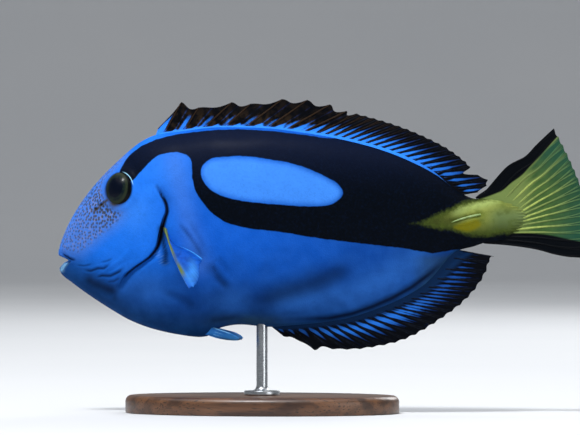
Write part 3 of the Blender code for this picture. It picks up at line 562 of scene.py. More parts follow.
soft = add(tree, "ShaderNodeBump", {"Strength": 0.35, "Distance": 0.0006, "Height": waves})
fine = add(tree, "ShaderNodeBump", {"Strength": 0.3, "Distance": 0.0002, "Height": grain, "Normal": soft})
feed(shader, {
    "Base Color": painted, "Roughness": add(tree, "ShaderNodeMapRange", satin), "Specular IOR Level": 0.02,
    "Coat Weight": 0.01, "Coat Roughness": 0.25, "Normal": fine,
})

skin = mesh_object("skin", points_of(x, side * width, height), loft_faces(ring_count, around), skin_paint)

# Where each coat lies on the skin
eye_away = from_eye(x, height)
eye_turn = np.degrees(np.arctan2(height - EYE_HEIGHT, x - EYE_X))
near_eye = spot(x, height, (-69, 8), 12)
from_nostril = np.minimum(*(np.hypot(x - a, height - b) / reach for a, b, reach in NOSTRILS))
above_keel = height - keel(x)
brow = (1 - fade(back(x) - height, 1, 5)) * (1 - fade(x, -76, -66))
into_throat = (len(throat) - np.arange(ring_count))[:, None] * np.ones(around)
slit = bell(x - gill_line(height) - 0.45, 0.5 + 0.4 * bell(height + 2, 8))
slit *= fade(height, -27.5, -22) * (1 - fade(height, 11, 17))
into_yellow = np.minimum(yellow_top(x) - height, height - yellow_low(x))
frill = np.maximum.reduce([
    stroke(x, height, 0.2, (-44.2 + 0.62 * k, -12 - 1.1 * k), (-46.4 + 0.62 * k, -13.3 - 1.1 * k))
    for k in range(6)
])
lower_lip = bell(x - lip_line(height) - 0.9, 1) * fade(-height, 17, 17.9) * fade(height, -22.4, -20.4)
keep_values(
    skin,
    band=np.minimum(inside(x, height, PALETTE_MARK), -inside(x, height, OVAL_PATCH)),
    wedge=np.where(x > 66, into_yellow - 2.1 * (1 - fade(x, 66, 82)), -9),
    # The pale oval patch, and painted light on the brow, the upper flank and the gill cover
    lit=0.3 * spot(x, height, (-40, 24), 11, 1.3)
    + fade(inside(x, height, OVAL_PATCH), -1, 3)
    + 0.7 * brow
    + 0.5 * spot(x, height, (-56, 5), 9),
    # Painted shade under the body, deepest under the head and in a band along the keel
    keel_wash=np.maximum(
        (0.85 - 0.55 * fade(x, -20, 12)) * (1 - fade(above_keel, 1, 14 + 10 * bell(x + 78, 26))),
        0.85 * (1 - fade(above_keel, 0.9, 2.4)) * fade(x, -4, 10),
    ),
    olive=0.75 * bell((x + 6) / 17, 1) * bell((height + 43.5) / 3, 1)
    + 0.5 * fade(x, 66, 76) * (1 - fade(height, -16, -12)),
    # Lighter dusty-blue mottle along the belly and anal fin's foot, and painted light on the throat
    dusty=np.maximum.reduce([
        stroke(x, height, 7, (12, -35), (40, -33), (58, -25), (70, -17)),
        0.8 * spot(x, height, (-51, -30), 7.5, 1.5),
        0.95 * spot(x, height, (-13, -35.5), 7, 1.3),
    ]),
    lilac=np.maximum(
        0.85 * fade(inside(x, height, SPECKLED_FACE), -5, 4) * (1 - 0.5 * brow),
        0.4 * stroke(x, height, 5, (-38, 28), (-34, 12), (-29, -8), (-26, -18)),
    ),
    speckled=fade(inside(x, height, SPECKLED_FACE), -0.5, 2.5) * (0.62 + 0.33 * near_eye),
    near_eye=near_eye,
    # Painted shade along the folds and grooves
    folds=np.maximum.reduce([
        fold_shade * bell(away, 1.1 * breadth) for away, _, breadth, fold_shade in each_fold(x, height)
    ]),
    brown=0.85 * bell(from_nostril, 0.8)
    + 0.9 * stroke(x, height, 0.6, (-69, 10.6), (-75.2, 5.6))
    + 0.6 * spot(x, height, (-65.6, 8.6), 1.7, 1.6)
    + 0.6 * bell(eye_away - 7.2, 0.9) * bell(eye_turn % 360 - 225, 60),
    tail_end=fade(x, 99, 108) * (1 - 0.8 * fade(height, 3, 9)),
    # Painted highlight along the stalk's upper part
    sunny=0.85 * stroke(x, height, 2.4, (88, 5.6), (94, 8.2), (100, 9.4), (105, 11)),
    # Painted shade towards the yellow's lower edge
    low_olive=0.85 * (1 - fade(height - yellow_low(x), 0.5, 9)),
    fore_olive=0.92 * (1 - fade(x, 76, 97)),
    # Amber under the blade, partly painted shade in the blade's groove
    amber=0.9 * fade(inside(x, height, AMBER_PATCH), -1.3, 0.8),
    pale=0.25 * frill + 0.9 * lower_lip,
    from_eye=eye_away,
    # Painted highlight on the eye's rim, at its upper rear
    crescent=fade(eye_turn, 10, 26) * (1 - fade(eye_turn, 62, 84)),
    # Painted shade in the mouth, the gill slit and the eye's socket; the dark axil behind the slit is partly
    # painted shade
    dark=np.clip(
        fade(into_throat, 2, 4)
        + 0.98 * fade(slit, 0.22, 0.6)
        + 0.85 * bell(eye_away - 6.8, 0.6)
        + 0.9 * stroke(x, height, 1.5, (-43.4, -2), (-42.6, -8), (-41.4, -13), (-41.8, -17)),
        0, 1,
    ),
)
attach(skin, "root")
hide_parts("head", "lower_jaw", "torso", "tail_stalk")

# The teeth: a row of small, flat ivory teeth just inside each lip, as on the real grazing fish, pressed
# into the lips. They are one tooth, repeated along the bow of the lip.
TOOTH_TALL, TOOTH_WIDE, TOOTH_DEEP, TOOTH_SIDES = 1.1, 0.62, 0.6, 8
# From the root to the edge: how far up, and the size against the root's
TOOTH_PROFILE = ((0, 1), (0.45, 1), (0.85, 0.8), (1, 0.45))
# Each row: its height, how far it stands behind the lip's edge, and 1 where it points up or -1 down
TOOTH_ROWS = ((-13.6, 1, -1), (-19.7, 1.1, 1))
TEETH_IN_ROW, ROW_REACH, ROW_BOW, ROW_SPLAY = 12, 2.4, 1.008, 0.35


def turned(name, profile, sides, material, first_turn=0, caps=2):
    """A round or oval piece, from rings given as (reach along, reach across, height) in mm."""
    spin = np.arange(sides) * 2 * math.pi / sides + first_turn
    rings = [(along * np.cos(spin), across * np.sin(spin), 0 * spin + up) for along, across, up in profile]
    return mesh_object(name, np.moveaxis(rings, 1, 2) * MM, loft_faces(len(profile), sides, caps), material)


def start_tree(name, **inputs):
    """A geometry-nodes tree and its inputs, each named and given as a kind of socket."""
    tree = bpy.data.node_groups.new(name, "GeometryNodeTree")
    for label, kind in inputs.items():
        tree.interface.new_socket(label, in_out="INPUT", socket_type="NodeSocket" + kind)
    return tree, add(tree, "NodeGroupInput").node.outputs


def end_tree(tree, result, finish):
    """Ends a tree: what it made is made real, given its material and sent out."""
    real = add(tree, "GeometryNodeRealizeInstances", {"Geometry": result})
    coated = add(tree, "GeometryNodeSetMaterial", {"Geometry": real, "Material": finish})
    tree.interface.new_socket("Made", in_out="OUTPUT", socket_type="NodeSocketGeometry")
    add(tree, "NodeGroupOutput", {"Made": coated})


def grown(name, source, tree, **inputs):
    """A plain mesh object from what a geometry-nodes tree makes of source, in place of source."""
    modifier = source.modifiers.new(name, "NODES")
    modifier.node_group = tree
    for item in tree.interface.items_tree:
        if item.name in inputs:
            modifier[item.identifier] = inputs[item.name]
    bpy.context.view_layer.update()
    mesh = bpy.data.meshes.new_from_object(source.evaluated_get(bpy.context.evaluated_depsgraph_get()))
    source.modifiers.clear()
    bpy.data.objects.remove(source)
    return into_scene(name, mesh)


# Glossy ivory resin, faintly streaked, which catches the light like enamel
ivory, tree, shader, place = new_material("ivory resin")
streaks = add(tree, "ShaderNodeTexNoise", {"Vector": place, "Scale": 700, "Detail": 2})
enamel = coats(tree, 0xB9BE92, (0xDADCB8, (streaks, 0.35, 0.7)))
feed(shader, {"Base Color": enamel, "Roughness": 0.3, "Coat Weight": 0.3, "Coat Roughness": 0.15})

tooth = [(TOOTH_DEEP / 2 * size, TOOTH_WIDE / 2 * size, TOOTH_TALL * part) for part, size in TOOTH_PROFILE]
tooth = turned("tooth", tooth, TOOTH_SIDES, ivory, math.pi / TOOTH_SIDES)
feet, turns = [], []
for row_height, set_back, up in TOOTH_ROWS:
    for aside in np.linspace(-1, 1, TEETH_IN_ROW):
        foot_x = lip_line(row_height) + set_back + ROW_BOW * aside ** 2
        feet.append(points_of(foot_x, ROW_REACH * aside, row_height))
        turns.append((0 if up > 0 else math.pi, 0, -up * ROW_SPLAY * aside))
rows_mesh = bpy.data.meshes.new("tooth_rows")
rows_mesh.from_pydata(feet, [], [])
tooth_rows = into_scene("tooth_rows", rows_mesh)
keep_values(tooth_rows, "FLOAT_VECTOR", turn=turns)

# One tooth at each point of the rows, turned as the point says
tooth_tree, given = start_tree(
    "teeth along the lips", Rows="Geometry", Tooth="Object", Size="Float", Finish="Material"
)
one = add(tooth_tree, "GeometryNodeObjectInfo", {"Object": given["Tooth"]}).node.outputs["Geometry"]
turn = add(tooth_tree, "GeometryNodeInputNamedAttribute", {"Name": "turn"}, data_type="FLOAT_VECTOR")
turn = add(tooth_tree, "FunctionNodeEulerToRotation", {"Euler": turn})
spread = {"Points": given["Rows"], "Instance": one, "Rotation": turn, "Scale": given["Size"]}
end_tree(tooth_tree, add(tooth_tree, "GeometryNodeInstanceOnPoints", spread), given["Finish"])
teeth = grown("teeth", tooth_rows, tooth_tree, Tooth=tooth, Size=1.0, Finish=ivory)
bpy.data.objects.remove(tooth)
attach(teeth, "root")

# The eyes: balls of clear resin over a painted iris, set in sockets in the cast. They have the glossy
# dome of a real fish's eye, a large pupil, and a dark olive iris with a paler ring.
SIDES = ((-1, "left"), (1, "right"))
EYE_LENGTH, EYE_DEPTH, EYE_TALL = 7.5, 5, 8.7
DOME_RISE, DOME_REACH = 0.35, 4.6
EYE_SUNK = 2.6
PUPIL_RADIUS = 4.2
RING_AHEAD, RING_UP = 0.9, 0.2
EYE_SIDES, EYE_RINGS = 72, 40


def outward(x, height, side):
    """The unit vector out of the plain body on one side: -1 is the fish's left, 1 its right."""
    reach = 0.8
    slope_along = plain_half_width(x + reach, height) - plain_half_width(x - reach, height)
    slope_up = plain_half_width(x, height + reach) - plain_half_width(x, height - reach)
    return Vector((-slope_along / (2 * reach), side, -slope_up / (2 * reach))).normalized()


# A near-black pupil in a flecked olive iris, deep and wet under the clear resin
eye_glass, tree, shader, place = new_material("painted iris under clear resin")
flecks = add(tree, "ShaderNodeTexNoise", {"Vector": place, "Scale": 900, "Detail": 3})
iris = coats(
    tree, 0x08141C,
    (0x16221E, (flecks, 0.35, 0.7)),
    (0x242C20, ("from_pupil", 5, 5.7)),
    # the near-black band round the iris, widest at the back, is painted shadow of the gap between eye and
    # socket
    (0x04070C, ("from_pupil", 6.3, 6.8)),
)
eye = coats(tree, 0x040A18, (iris, ("from_pupil", PUPIL_RADIUS - 0.3, PUPIL_RADIUS + 0.2)))
feed(shader, {
    "Base Color": eye, "Roughness": 0.3, "Specular IOR Level": 0.05,
    "Coat Weight": 0.07, "Coat Roughness": 0.06,
})

tilt = np.linspace(0, math.pi, EYE_RINGS + 1)[1:-1]
tilt, spin = np.meshgrid(tilt, np.arange(EYE_SIDES) * 2 * math.pi / EYE_SIDES, indexing="ij")
out = np.cos(tilt) * EYE_DEPTH
out += np.where(out > 0, DOME_RISE * bell(np.sin(tilt) * 8.4, DOME_REACH), 0)
ball = [np.sin(tilt) * np.cos(spin) * EYE_LENGTH, out, np.sin(tilt) * np.sin(spin) * EYE_TALL]
ball = np.stack(ball, axis=-1).reshape(-1, 3)
faces = loft_faces(EYE_RINGS - 1, EYE_SIDES, caps=0)
front, rear, last_ring = len(ball), len(ball) + 1, len(ball) - EYE_SIDES
for j in range(EYE_SIDES):
    k = (j + 1) % EYE_SIDES
    faces += [(front, j, k), (rear, last_ring + k, last_ring + j)]
ball = np.concatenate([ball, [(0, EYE_DEPTH + DOME_RISE, 0), (0, -EYE_DEPTH, 0)]])
for side, word in SIDES:
    facing = outward(EYE_X, EYE_HEIGHT, side)
    turn = np.array(Vector((0, side, 0)).rotation_difference(facing).to_matrix())
    centre = points_of(EYE_X, side * plain_half_width(EYE_X, EYE_HEIGHT), EYE_HEIGHT)
    centre = centre - np.array(facing) * EYE_SUNK * MM
    eye_ball = mesh_object(f"eye_ball_{word}", centre + ball * (1, side, 1) @ turn.T * MM, faces, eye_glass)
    keep_values(eye_ball, from_pupil=np.hypot(ball[:, 0] * 1.12 + RING_AHEAD, ball[:, 2] * 0.9 - RING_UP))
    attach(eye_ball, "root")
    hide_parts(f"eye_{word}")

# The scalpels: one bony blade on each side of the tail's stalk, which the living fish folds into a groove.
# Each is a tapered, slightly flattened spine in ivory resin, pinned along the stalk with its tip forward.
BLADE_HEIGHT, BLADE_THICKNESS, BLADE_LIFT, BLADE_BOW, BLADE_POINT = 0.95, 1, 0.05, 0.35, 0.04
BLADE_RINGS, BLADE_SIDES = 24, 20

# Olive-yellow resin, faintly streaked, with the low gloss of bone
bone, tree, shader, place = new_material("pale yellow resin blade")
streaks = add(tree, "ShaderNodeTexNoise", {"Vector": place, "Scale": 700, "Detail": 2})
blade_colour = coats(tree, 0x76904A, (0x90AC6C, (streaks, 0.35, 0.7)))
feed(shader, {"Base Color": blade_colour, "Roughness": 0.4, "Coat Weight": 0.1, "Coat Roughness": 0.2})

part = np.linspace(0, 1, BLADE_RINGS)
part, spin = np.meshgrid(part, np.arange(BLADE_SIDES) * 2 * math.pi / BLADE_SIDES, indexing="ij")
size = np.maximum(np.sqrt(1 - part ** 1.6) * (0.75 + 0.25 * fade(part, 0, 0.15)), BLADE_POINT)
aside = np.cos(spin) * size * BLADE_THICKNESS / 2
up = np.sin(spin) * size * BLADE_HEIGHT / 2 + BLADE_BOW * np.sin(math.pi * part)
for side, word in SIDES:
    heel, tip = (
        points_of(x, side * (plain_half_width(x, height) + BLADE_LIFT), height)
        for x, height in (BLADE_HEEL, BLADE_TIP)
    )
    forward = Vector(tip - heel).normalized()
    sideways = Vector((0, side, 0))
    sideways = (sideways - forward * sideways.dot(forward)).normalized()
    points = heel + np.multiply.outer(part, tip - heel) + np.multiply.outer(aside, np.array(sideways)) * MM
    points += np.multiply.outer(up, np.array(forward.cross(sideways))) * MM
    scalpel = mesh_object(f"scalpel_{word}", points, loft_faces(BLADE_RINGS, BLADE_SIDES), bone)
    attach(scalpel, "root")
    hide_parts(f"tail_blade_{word}")

# The dorsal fin: nine stiff spines and twenty branched soft rays, with a thin web cast between them. It is
# near black, brown towards the spines, with a bright blue foot that runs up the webs in streaks.
DORSAL_RAY_COUNT, DORSAL_TEAR_AFTER = 15, 25
SPINY_NOTCH, SOFT_NOTCH, TEAR_NOTCH = 0.12, 0.03, 0.3
FIN_SUNK = 1.4
WEB_THICKNESS, FOOT_THICKNESS = 0.24, 2
WEB_STEPS, FIN_ROWS = 8, 36
SPINE_RADIUS, RAY_RADIUS, RAY_SIDES = 0.5, 0.36, 8
WAY_OUT = np.linspace(0, 1, 30)
RAY_SPREAD, RAY_FORKS = 0.24, ((0.5, 0.72),)
# Each spine or ray: its foot's place along the back, its angle in degrees and its length
DORSAL_SPINES = (
    (-48.4, 72, 3.2), (-44.8, 60, 16.6), (-35.6, 57, 12.6), (-26.4, 42.5, 17.4), (-16.8, 42, 15.8),
    (-7.3, 37.5, 21), (2.7, 35, 22.2), (10.9, 29.5, 23.4), (18.6, 25.5, 22.2),
)
DORSAL_RAYS = ((24.4, 26.5, 20.9), (40, 21, 21.2), (63, 13, 20.3), (74.4, 10.5, 17.9))
DORSAL_REAR_RAYS = (
    (77.9, 10.4, 16.5), (81.2, 5.3, 16.2), (84.4, 6.3, 17.7), (87.4, 7, 14.2), (90.6, 8, 6.6),
)
# Along the fin, by ray number: the streaks' length, the blue foot's height, and the slivers of blue that
# stand before the spines
DORSAL_STREAKS = ((0, 1), (6, 4), (8, 9), (11, 13), (16, 15.5), (22, 16), (25, 14), (28, 9))
DORSAL_FOOT = ((0, 0.7), (4, 0.9), (8, 1.3), (14, 1.7), (20, 1.6), (24, 0.6), (26, -0.4), (28, -0.6))
DORSAL_SLIVERS = (
    (0, 0), (1, 0), (1.7, 0.85), (2, 0.2), (2.7, 0.75), (3, 0.1), (3.7, 0.35), (4, 0.3), (4.6, 0.7),
    (5, 0.2), (6.6, 0.45), (8, 0.5),
)


def evenly(rays, count):
    """This many rays with evenly spaced feet, their angles and lengths drawn through the given ones."""
    foot = np.linspace(rays[0][0], rays[-1][0], count)
    angle = through([ray[:2] for ray in rays])(foot)
    length = through([ray[::2] for ray in rays])(foot)
    return tuple(zip(foot, angle, length))


def ray_before(u, count):
    """The number of the ray before a place on a fin with this many rays."""
    return np.clip(np.floor(u).astype(int), 0, count - 2)


def between(places, u):
    """The coordinates at places between rays, from those given for each ray."""
    ray = ray_before(u, len(places))
    part = np.clip(u - ray, 0, 1)[..., None]
    return np.moveaxis(places[ray] * (1 - part) + places[ray + 1] * part, -1, 0)


def sagged(v, notch, part):
    """The way out, drawn in by up to the notch where the web's edge sags between two rays."""
    return v * (1 - notch * 6.75 * part ** 2 * (1 - part))


def median_fin(bones, notches, edge):
    """The middle surface of a fin on the back or belly, by ray number and part of the way out."""
    foot, angle, length = np.array(bones).T
    rise = np.radians(angle)
    feet = np.stack([foot, edge(foot)], axis=-1)
    way = np.stack([np.cos(rise), np.sin(rise)], axis=-1)
    tips, roots = feet + way * length[:, None], feet - way * FIN_SUNK

    def surface(u, v):
        ray = ray_before(u, len(foot))
        root, tip = between(roots, u), between(tips, u)
        x, height = root + (tip - root) * 0.985 * sagged(v, notches[ray], u - ray)
        ripple = 0.55 * np.sin(x * 0.11 + 1.7 * v) * fade(v, 0.1, 0.9)
        slack = 0.16 * np.sin(2 * math.pi * (u - ray)) * fade(v, 0.1, 0.8)
        return points_of(x, ripple + slack, height)

    return surface


def fin_web(name, surface, count, material, thin=WEB_THICKNESS, thick=FOOT_THICKNESS):
    """The web of a fin, a thin closed sheet round its middle surface, thicker at its foot.

    With it come its points' ray numbers, parts of the way out and millimetres out, for one of its two faces.
    """
    u = np.linspace(0, count - 1, (count - 1) * WEB_STEPS + 1)
    u, v = np.meshgrid(u, np.linspace(0, 1, FIN_ROWS + 1), indexing="ij")
    middle = surface(u, v)
    normal = np.cross(np.gradient(middle, axis=0), np.gradient(middle, axis=1))
    normal /= np.maximum(np.linalg.norm(normal, axis=-1, keepdims=True), 1e-12)
    half = thin / 2 * (1 - 0.6 * fade(v, 0.75, 1)) + (thick - thin) / 2 * (1 - fade(v, 0, 0.22))
    half = normal * half[..., None] * MM
    index = np.arange(u.size).reshape(u.shape)
    near = np.stack([index[:-1, :-1], index[1:, :-1], index[1:, 1:], index[:-1, 1:]], axis=-1).reshape(-1, 4)
    rim = np.concatenate([index[:, 0], index[-1, 1:], index[-2::-1, -1], index[0, -2:0:-1]])
    ahead = np.roll(rim, -1)
    edges = np.stack([ahead, rim, rim + u.size, ahead + u.size], axis=-1)
    faces = np.concatenate([near, near[:, ::-1] + u.size, edges]).tolist()
    web = mesh_object(name, [middle - half, middle + half], faces, material)
    return web, u, v, np.linalg.norm(middle - middle[:, :1], axis=-1) / MM


def ray_paths(rays, spread=0, forks=(), size=1):
    """Lines over a fin for its rays: their ray numbers on the way out, start and end there, and size.

    A fork is how far out every line splits in two, and the size of its branches.
    """
    paths = []
    for ray in rays:
        stems = [(np.full_like(WAY_OUT, ray), 0, size)]
        for level, (fork, branch_size) in enumerate(forks):
            branches = []
            for numbers, start, stem_size in stems:
                paths.append((numbers, start, fork + 0.05, stem_size))
                for turn in (-1, 1):
                    bent = numbers + turn * spread / 2 ** level * fade(WAY_OUT, fork, 1.25)
                    branches.append((bent, fork, branch_size))
            stems = branches
        paths += [(numbers, start, 1, stem_size) for numbers, start, stem_size in stems]
    return paths


# A round, tapering rod along each line, as thick as its points say
ray_tree, given = start_tree("fin rays along their lines", Lines="Geometry", Sides="Int", Finish="Material")
lines = add(ray_tree, "GeometryNodeMeshToCurve", {"Mesh": given["Lines"]})
circle = add(ray_tree, "GeometryNodeCurvePrimitiveCircle", {"Resolution": given["Sides"], "Radius": 1})
radius = add(ray_tree, "GeometryNodeInputNamedAttribute", {"Name": "ray_radius"})
rods = {"Curve": lines, "Profile Curve": circle, "Scale": radius, "Fill Caps": True}
rods = add(ray_tree, "GeometryNodeCurveToMesh", rods)
end_tree(ray_tree, add(ray_tree, "GeometryNodeSetShadeSmooth", {"Geometry": rods}), given["Finish"])


def fin_rays(name, surface, paths, radius, material):
    """The rays of a fin, rods along lines over its surface, and their points' ray numbers and mm out."""
    points, edges, thick, out, ray_number = [], [], [], [], []
    for numbers, start, end, size in paths:
        kept = (WAY_OUT >= start - 0.02) & (WAY_OUT <= end)
        u, v = numbers[kept], WAY_OUT[kept]
        line = surface(u, v)
        edges += [(k, k + 1) for k in range(len(points), len(points) + len(line) - 1)]
        points += line.tolist()
        thick += list(radius * size * (1 - 0.45 * v) * (0.35 + 0.65 * (1 - fade(v, 0.93, 1))) * MM)
        out += list(np.linalg.norm(line - surface(u[:1], np.zeros(1)), axis=-1) / MM)
        ray_number += list(u)
    mesh = bpy.data.meshes.new(name + "_lines")
    mesh.from_pydata(points, edges, [])
    lines = into_scene(name + "_lines", mesh)
    keep_values(lines, ray_radius=thick, out=out, ray_number=ray_number)
    rods = grown(name, lines, ray_tree, Sides=RAY_SIDES, Finish=material)
    kept = np.zeros((2, len(rods.data.vertices)), np.float32)
    for row, value in zip(kept, ("ray_number", "out")):
        rods.data.attributes[value].data.foreach_get("value", row)
    return rods, *kept


def streak_mark(part, out, start, length, breadth):
    """Above 0 in the long, pointed streak on each web: part runs from ray to ray, and out is in mm."""
    t = np.clip((out - start) / length, -1, 1)
    width = breadth * fade(t, -0.05, 0.3) * (1 - np.clip(t, 0, 1)) ** 0.8
    return width - np.abs(2 * part - 1)


def creases(tree, place):
    """The fine creases of a dried fin's web, about a millimetre apart, pressed into its paint."""
    crease = add(tree, "ShaderNodeTexNoise", {"Vector": place, "Scale": 900, "Detail": 2})
    return add(tree, "ShaderNodeBump", {"Strength": 0.3, "Distance": 0.0002, "Height": crease})


# Painted, satin-lacquered resin web: black with streaks of blue between the rays, each streak fading to
# the fin's black outer half
streaked_web, tree, shader, place = new_material("streaked satin web")
cloud = add(tree, "ShaderNodeTexNoise", {"Vector": place, "Scale": 300, "Detail": 3})
streak = wavering(tree, "streak", cloud, 0.25, 0.75, 0.1)
dusky = coats(tree, 0x08080A, (0x2A2016, (cloud, 0.42, 0.62)))
web_blue = coats(tree, 0x0E3070, (0x2F86FA, "bright"))
web_colour = coats(tree, 0x04060C, (dusky, "brown"), (0x0A264A, "dusk"), (web_blue, (streak, -0.08, 0.24)))
feed(shader, {
    "Base Color": web_colour, "Roughness": 0.5, "Specular IOR Level": 0.04, "Normal": creases(tree, place),
})

# The rays' satin near-black, faintly banded, with the foot of each picked out in blue
dark_ray, tree, shader, place = new_material("satin near-black ray")
segments = add(tree, "ShaderNodeTexNoise", {"Vector": place, "Scale": 800, "Detail": 2})
ray_colour = coats(
    tree, 0x05070C,
    (0x141A28, (segments, 0.3, 0.75)),
    (0x3A2A1A, "brown"),
    (0x2A78EC, "blue_foot"),
    (0x0A264A, "dusk_foot"),
)
feed(shader, {"Base Color": ray_colour, "Roughness": 0.48, "Specular IOR Level": 0.04})

bones = DORSAL_SPINES + evenly(DORSAL_RAYS, DORSAL_RAY_COUNT) + DORSAL_REAR_RAYS
spine_count = len(DORSAL_SPINES)
notches = np.where(np.arange(len(bones)) < spine_count, SPINY_NOTCH, SOFT_NOTCH)
notches[DORSAL_TEAR_AFTER - 1] = TEAR_NOTCH
dorsal = median_fin(bones, notches, back)
web, u, v, out = fin_web("dorsal_web", dorsal, len(bones), streaked_web)
part, out = u - ray_before(u, len(bones)), out - FIN_SUNK
rear = fade(u, 22.5, 26.5)
streak = streak_mark(part, out, 2.8 * rear - 1.5, through(DORSAL_STREAKS)(u) + 1.5, 0.85 - 0.25 * rear)
streak = np.maximum(streak, (through(DORSAL_FOOT)(u) - out) * 0.8)
sliver = through(DORSAL_SLIVERS)(u) * bell(part - 0.84, 0.11) * (u < 8)
sliver *= fade(out, 0, 1) * (1 - fade(out, 5, 11))
front_fold = 0.9 * (1 - fade(u, 0.62, 0.92)) * (1 - fade(v, 0.72, 0.95))
keep_values(
    web,
    streak=np.maximum(streak, np.maximum(sliver, front_fold) - 0.2),
    bright=(1 - fade(out, 4, 13)) * (1 - 0.55 * fade(u, 18, 26)),
    brown=(1 - fade(u, 6, 12)) * (1 - 0.7 * fade(out, 5, 13)),
)
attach(web, "root")
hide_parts("dorsal_fin")
for name, paths, radius in (
    ("dorsal_spines", ray_paths(range(1, spine_count)), SPINE_RADIUS),
    ("dorsal_rays", ray_paths(range(spine_count, len(bones)), RAY_SPREAD, RAY_FORKS), RAY_RADIUS),
):
    rays, ray_number, out = fin_rays(name, dorsal, paths, radius, dark_ray)
    foot = (1 - fade(out - FIN_SUNK, 0.6, 2.6)) * (1 - fade(ray_number, 23, 26))
    keep_values(rays, blue_foot=0.8 * foot, brown=0.7 * (1 - fade(ray_number, 9, 20)))
    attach(rays, "root")

# The anal fin: three spines and nineteen branched rays under the rear half of the belly, cast and painted
# like the dorsal fin. Its foot is a dusky blue, and the streaks start beyond it.
ANAL_SPINES = ((5, -40, 7), (8.6, -39, 9.4), (13.2, -45.3, 15.6))
ANAL_RAYS = (
    (17.6, -37, 18.2), (26, -31, 22.6), (45, -20.5, 26), (63, -9, 25.2), (77, -2.5, 22.4),
    (88.6, -9.5, 15.4),
)
ANAL_RAY_COUNT = 19
ANAL_SPINE_SIZE = 1.1
ANAL_STREAK_STARTS = ((0, 1), (4, 1.9), (8, 2.9), (14, 3.6), (18, 4.4), (21, 5.6))
ANAL_STREAKS = ((0, 3), (2, 6), (4, 12), (8, 16.5), (14, 16.5), (18, 14), (21, 9))
bones = ANAL_SPINES + evenly(ANAL_RAYS, ANAL_RAY_COUNT)
spine_count = len(ANAL_SPINES)
anal = median_fin(bones, np.where(np.arange(len(bones)) < spine_count, SPINY_NOTCH, SOFT_NOTCH), keel)
web, u, _, out = fin_web("anal_web", anal, len(bones), streaked_web)
part, out = u - ray_before(u, len(bones)), out - FIN_SUNK
streak_start, streak_length = through(ANAL_STREAK_STARTS)(u), through(ANAL_STREAKS)(u)
# Towards the rear each streak parts in two
forked = fade(u, 7, 16)
streak = np.maximum(*(
    streak_mark(part + aside * forked, out, streak_start, streak_length, 0.9 - 0.47 * forked)
    for aside in (-0.25, 0.25)
))
middle = bell((out - streak_start) / streak_length - 0.36, 0.34)
keep_values(
    web,
    streak=streak - 0.2 * (1 - fade(u, 1.5, 4.5)) - 0.3 * fade(u, 18, 21),
    bright=middle * (0.25 + 0.4 * fade(u, 2, 6) - 0.5 * fade(u, 11, 18)),
    dusk=1 - fade(out, streak_start - 1, streak_start + 3),
)
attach(web, "root")
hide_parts("anal_fin")
paths = ray_paths(range(spine_count), size=ANAL_SPINE_SIZE)
paths += ray_paths(range(spine_count, len(bones)), RAY_SPREAD, RAY_FORKS)
rays, _, out = fin_rays("anal_rays", anal, paths, RAY_RADIUS, dark_ray)
keep_values(rays, dusk_foot=1 - fade(out - FIN_SUNK, 1, 3))
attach(rays, "root")

# The tail fin: sixteen rays that branch twice in a thin web, rooted round the stalk's end. Yellow, with
# paler rays over an olive web, and black along its upper and lower edges.
CAUDAL_UPPER_EDGE = (
    (99.4, 11.6), (103.4, 16.5), (108.1, 22.3), (111.5, 25.9), (114.6, 27.9), (118.8, 30.1), (124.2, 35.9),
    (131.4, 43.1),
)
CAUDAL_LOWER_EDGE = (
    (101.8, -8.2), (114.4, -9.5), (124, -11.1), (131.3, -13.2), (139.4, -14.6), (151.8, -15.2),
)
CAUDAL_BOW, CAUDAL_NOTCH, CAUDAL_SUNK = 2.9, 0.014, 2
CAUDAL_RAY_COUNT, CAUDAL_RAY_RADIUS = 16, 0.52
CAUDAL_SPREAD, CAUDAL_FORKS = 0.3, ((0.45, 0.82), (0.72, 0.66))


def spread_along(points, parts):
    """Points at these parts of the way along a smooth line through the given ones."""
    points = np.array(points, float)
    at = np.concatenate([[0], np.cumsum(np.linalg.norm(np.diff(points, axis=0), axis=1))])
    return np.stack([through(list(zip(at / at[-1], column)))(parts) for column in points.T], axis=-1)


upper_edge, lower_edge = np.array(CAUDAL_UPPER_EDGE), np.array(CAUDAL_LOWER_EDGE)
edge_to_edge = lower_edge[-1] - upper_edge[-1]
behind_tail = np.array([-edge_to_edge[1], edge_to_edge[0]]) / np.linalg.norm(edge_to_edge)


def caudal(u, v):
    """The tail fin's middle surface."""
    u = np.clip(u, 0, CAUDAL_RAY_COUNT - 1)
    part, gap = u / (CAUDAL_RAY_COUNT - 1), u - ray_before(u, CAUDAL_RAY_COUNT)
    root_height = upper_edge[0, 1] + (lower_edge[0, 1] - upper_edge[0, 1]) * part
    root = np.stack([tail_root(root_height), root_height], axis=-1)
    bow = CAUDAL_BOW * np.sin(math.pi * part) ** 0.9
    tip = upper_edge[-1] + edge_to_edge * part[..., None] + behind_tail * bow[..., None]
    site = root + (tip - root) * 0.99 * sagged(v, CAUDAL_NOTCH, gap)[..., None]
    for line, weight in ((upper_edge, (1 - part) ** 5), (lower_edge, part ** 5)):
        straight = line[0] + (line[-1] - line[0]) * v[..., None]
        site = site + weight[..., None] * (spread_along(line, v) - straight)
    x, height = np.moveaxis(site, -1, 0)
    ripple = 0.7 * np.sin(height * 0.16 + 0.6) * fade(v, 0.2, 1)
    slack = 0.12 * np.sin(2 * math.pi * gap) * fade(v, 0.1, 0.8)
    return points_of(x - (1 - fade(v, 0, 0.12)) * CAUDAL_SUNK, ripple + slack, height)


def yellow_inside(made):
    """Stores how far inside the yellow each point lies, in mm, and gives how far along the fish it is."""
    place = np.zeros(len(made.data.vertices) * 3)
    made.data.vertices.foreach_get("co", place)
    x, _, up = place.reshape(-1, 3).T / MM
    height = up - AXIS_HEIGHT
    keep_values(made, yellow=0.75 * np.minimum(yellow_top(x) - height, height - yellow_low(x)))
    return x


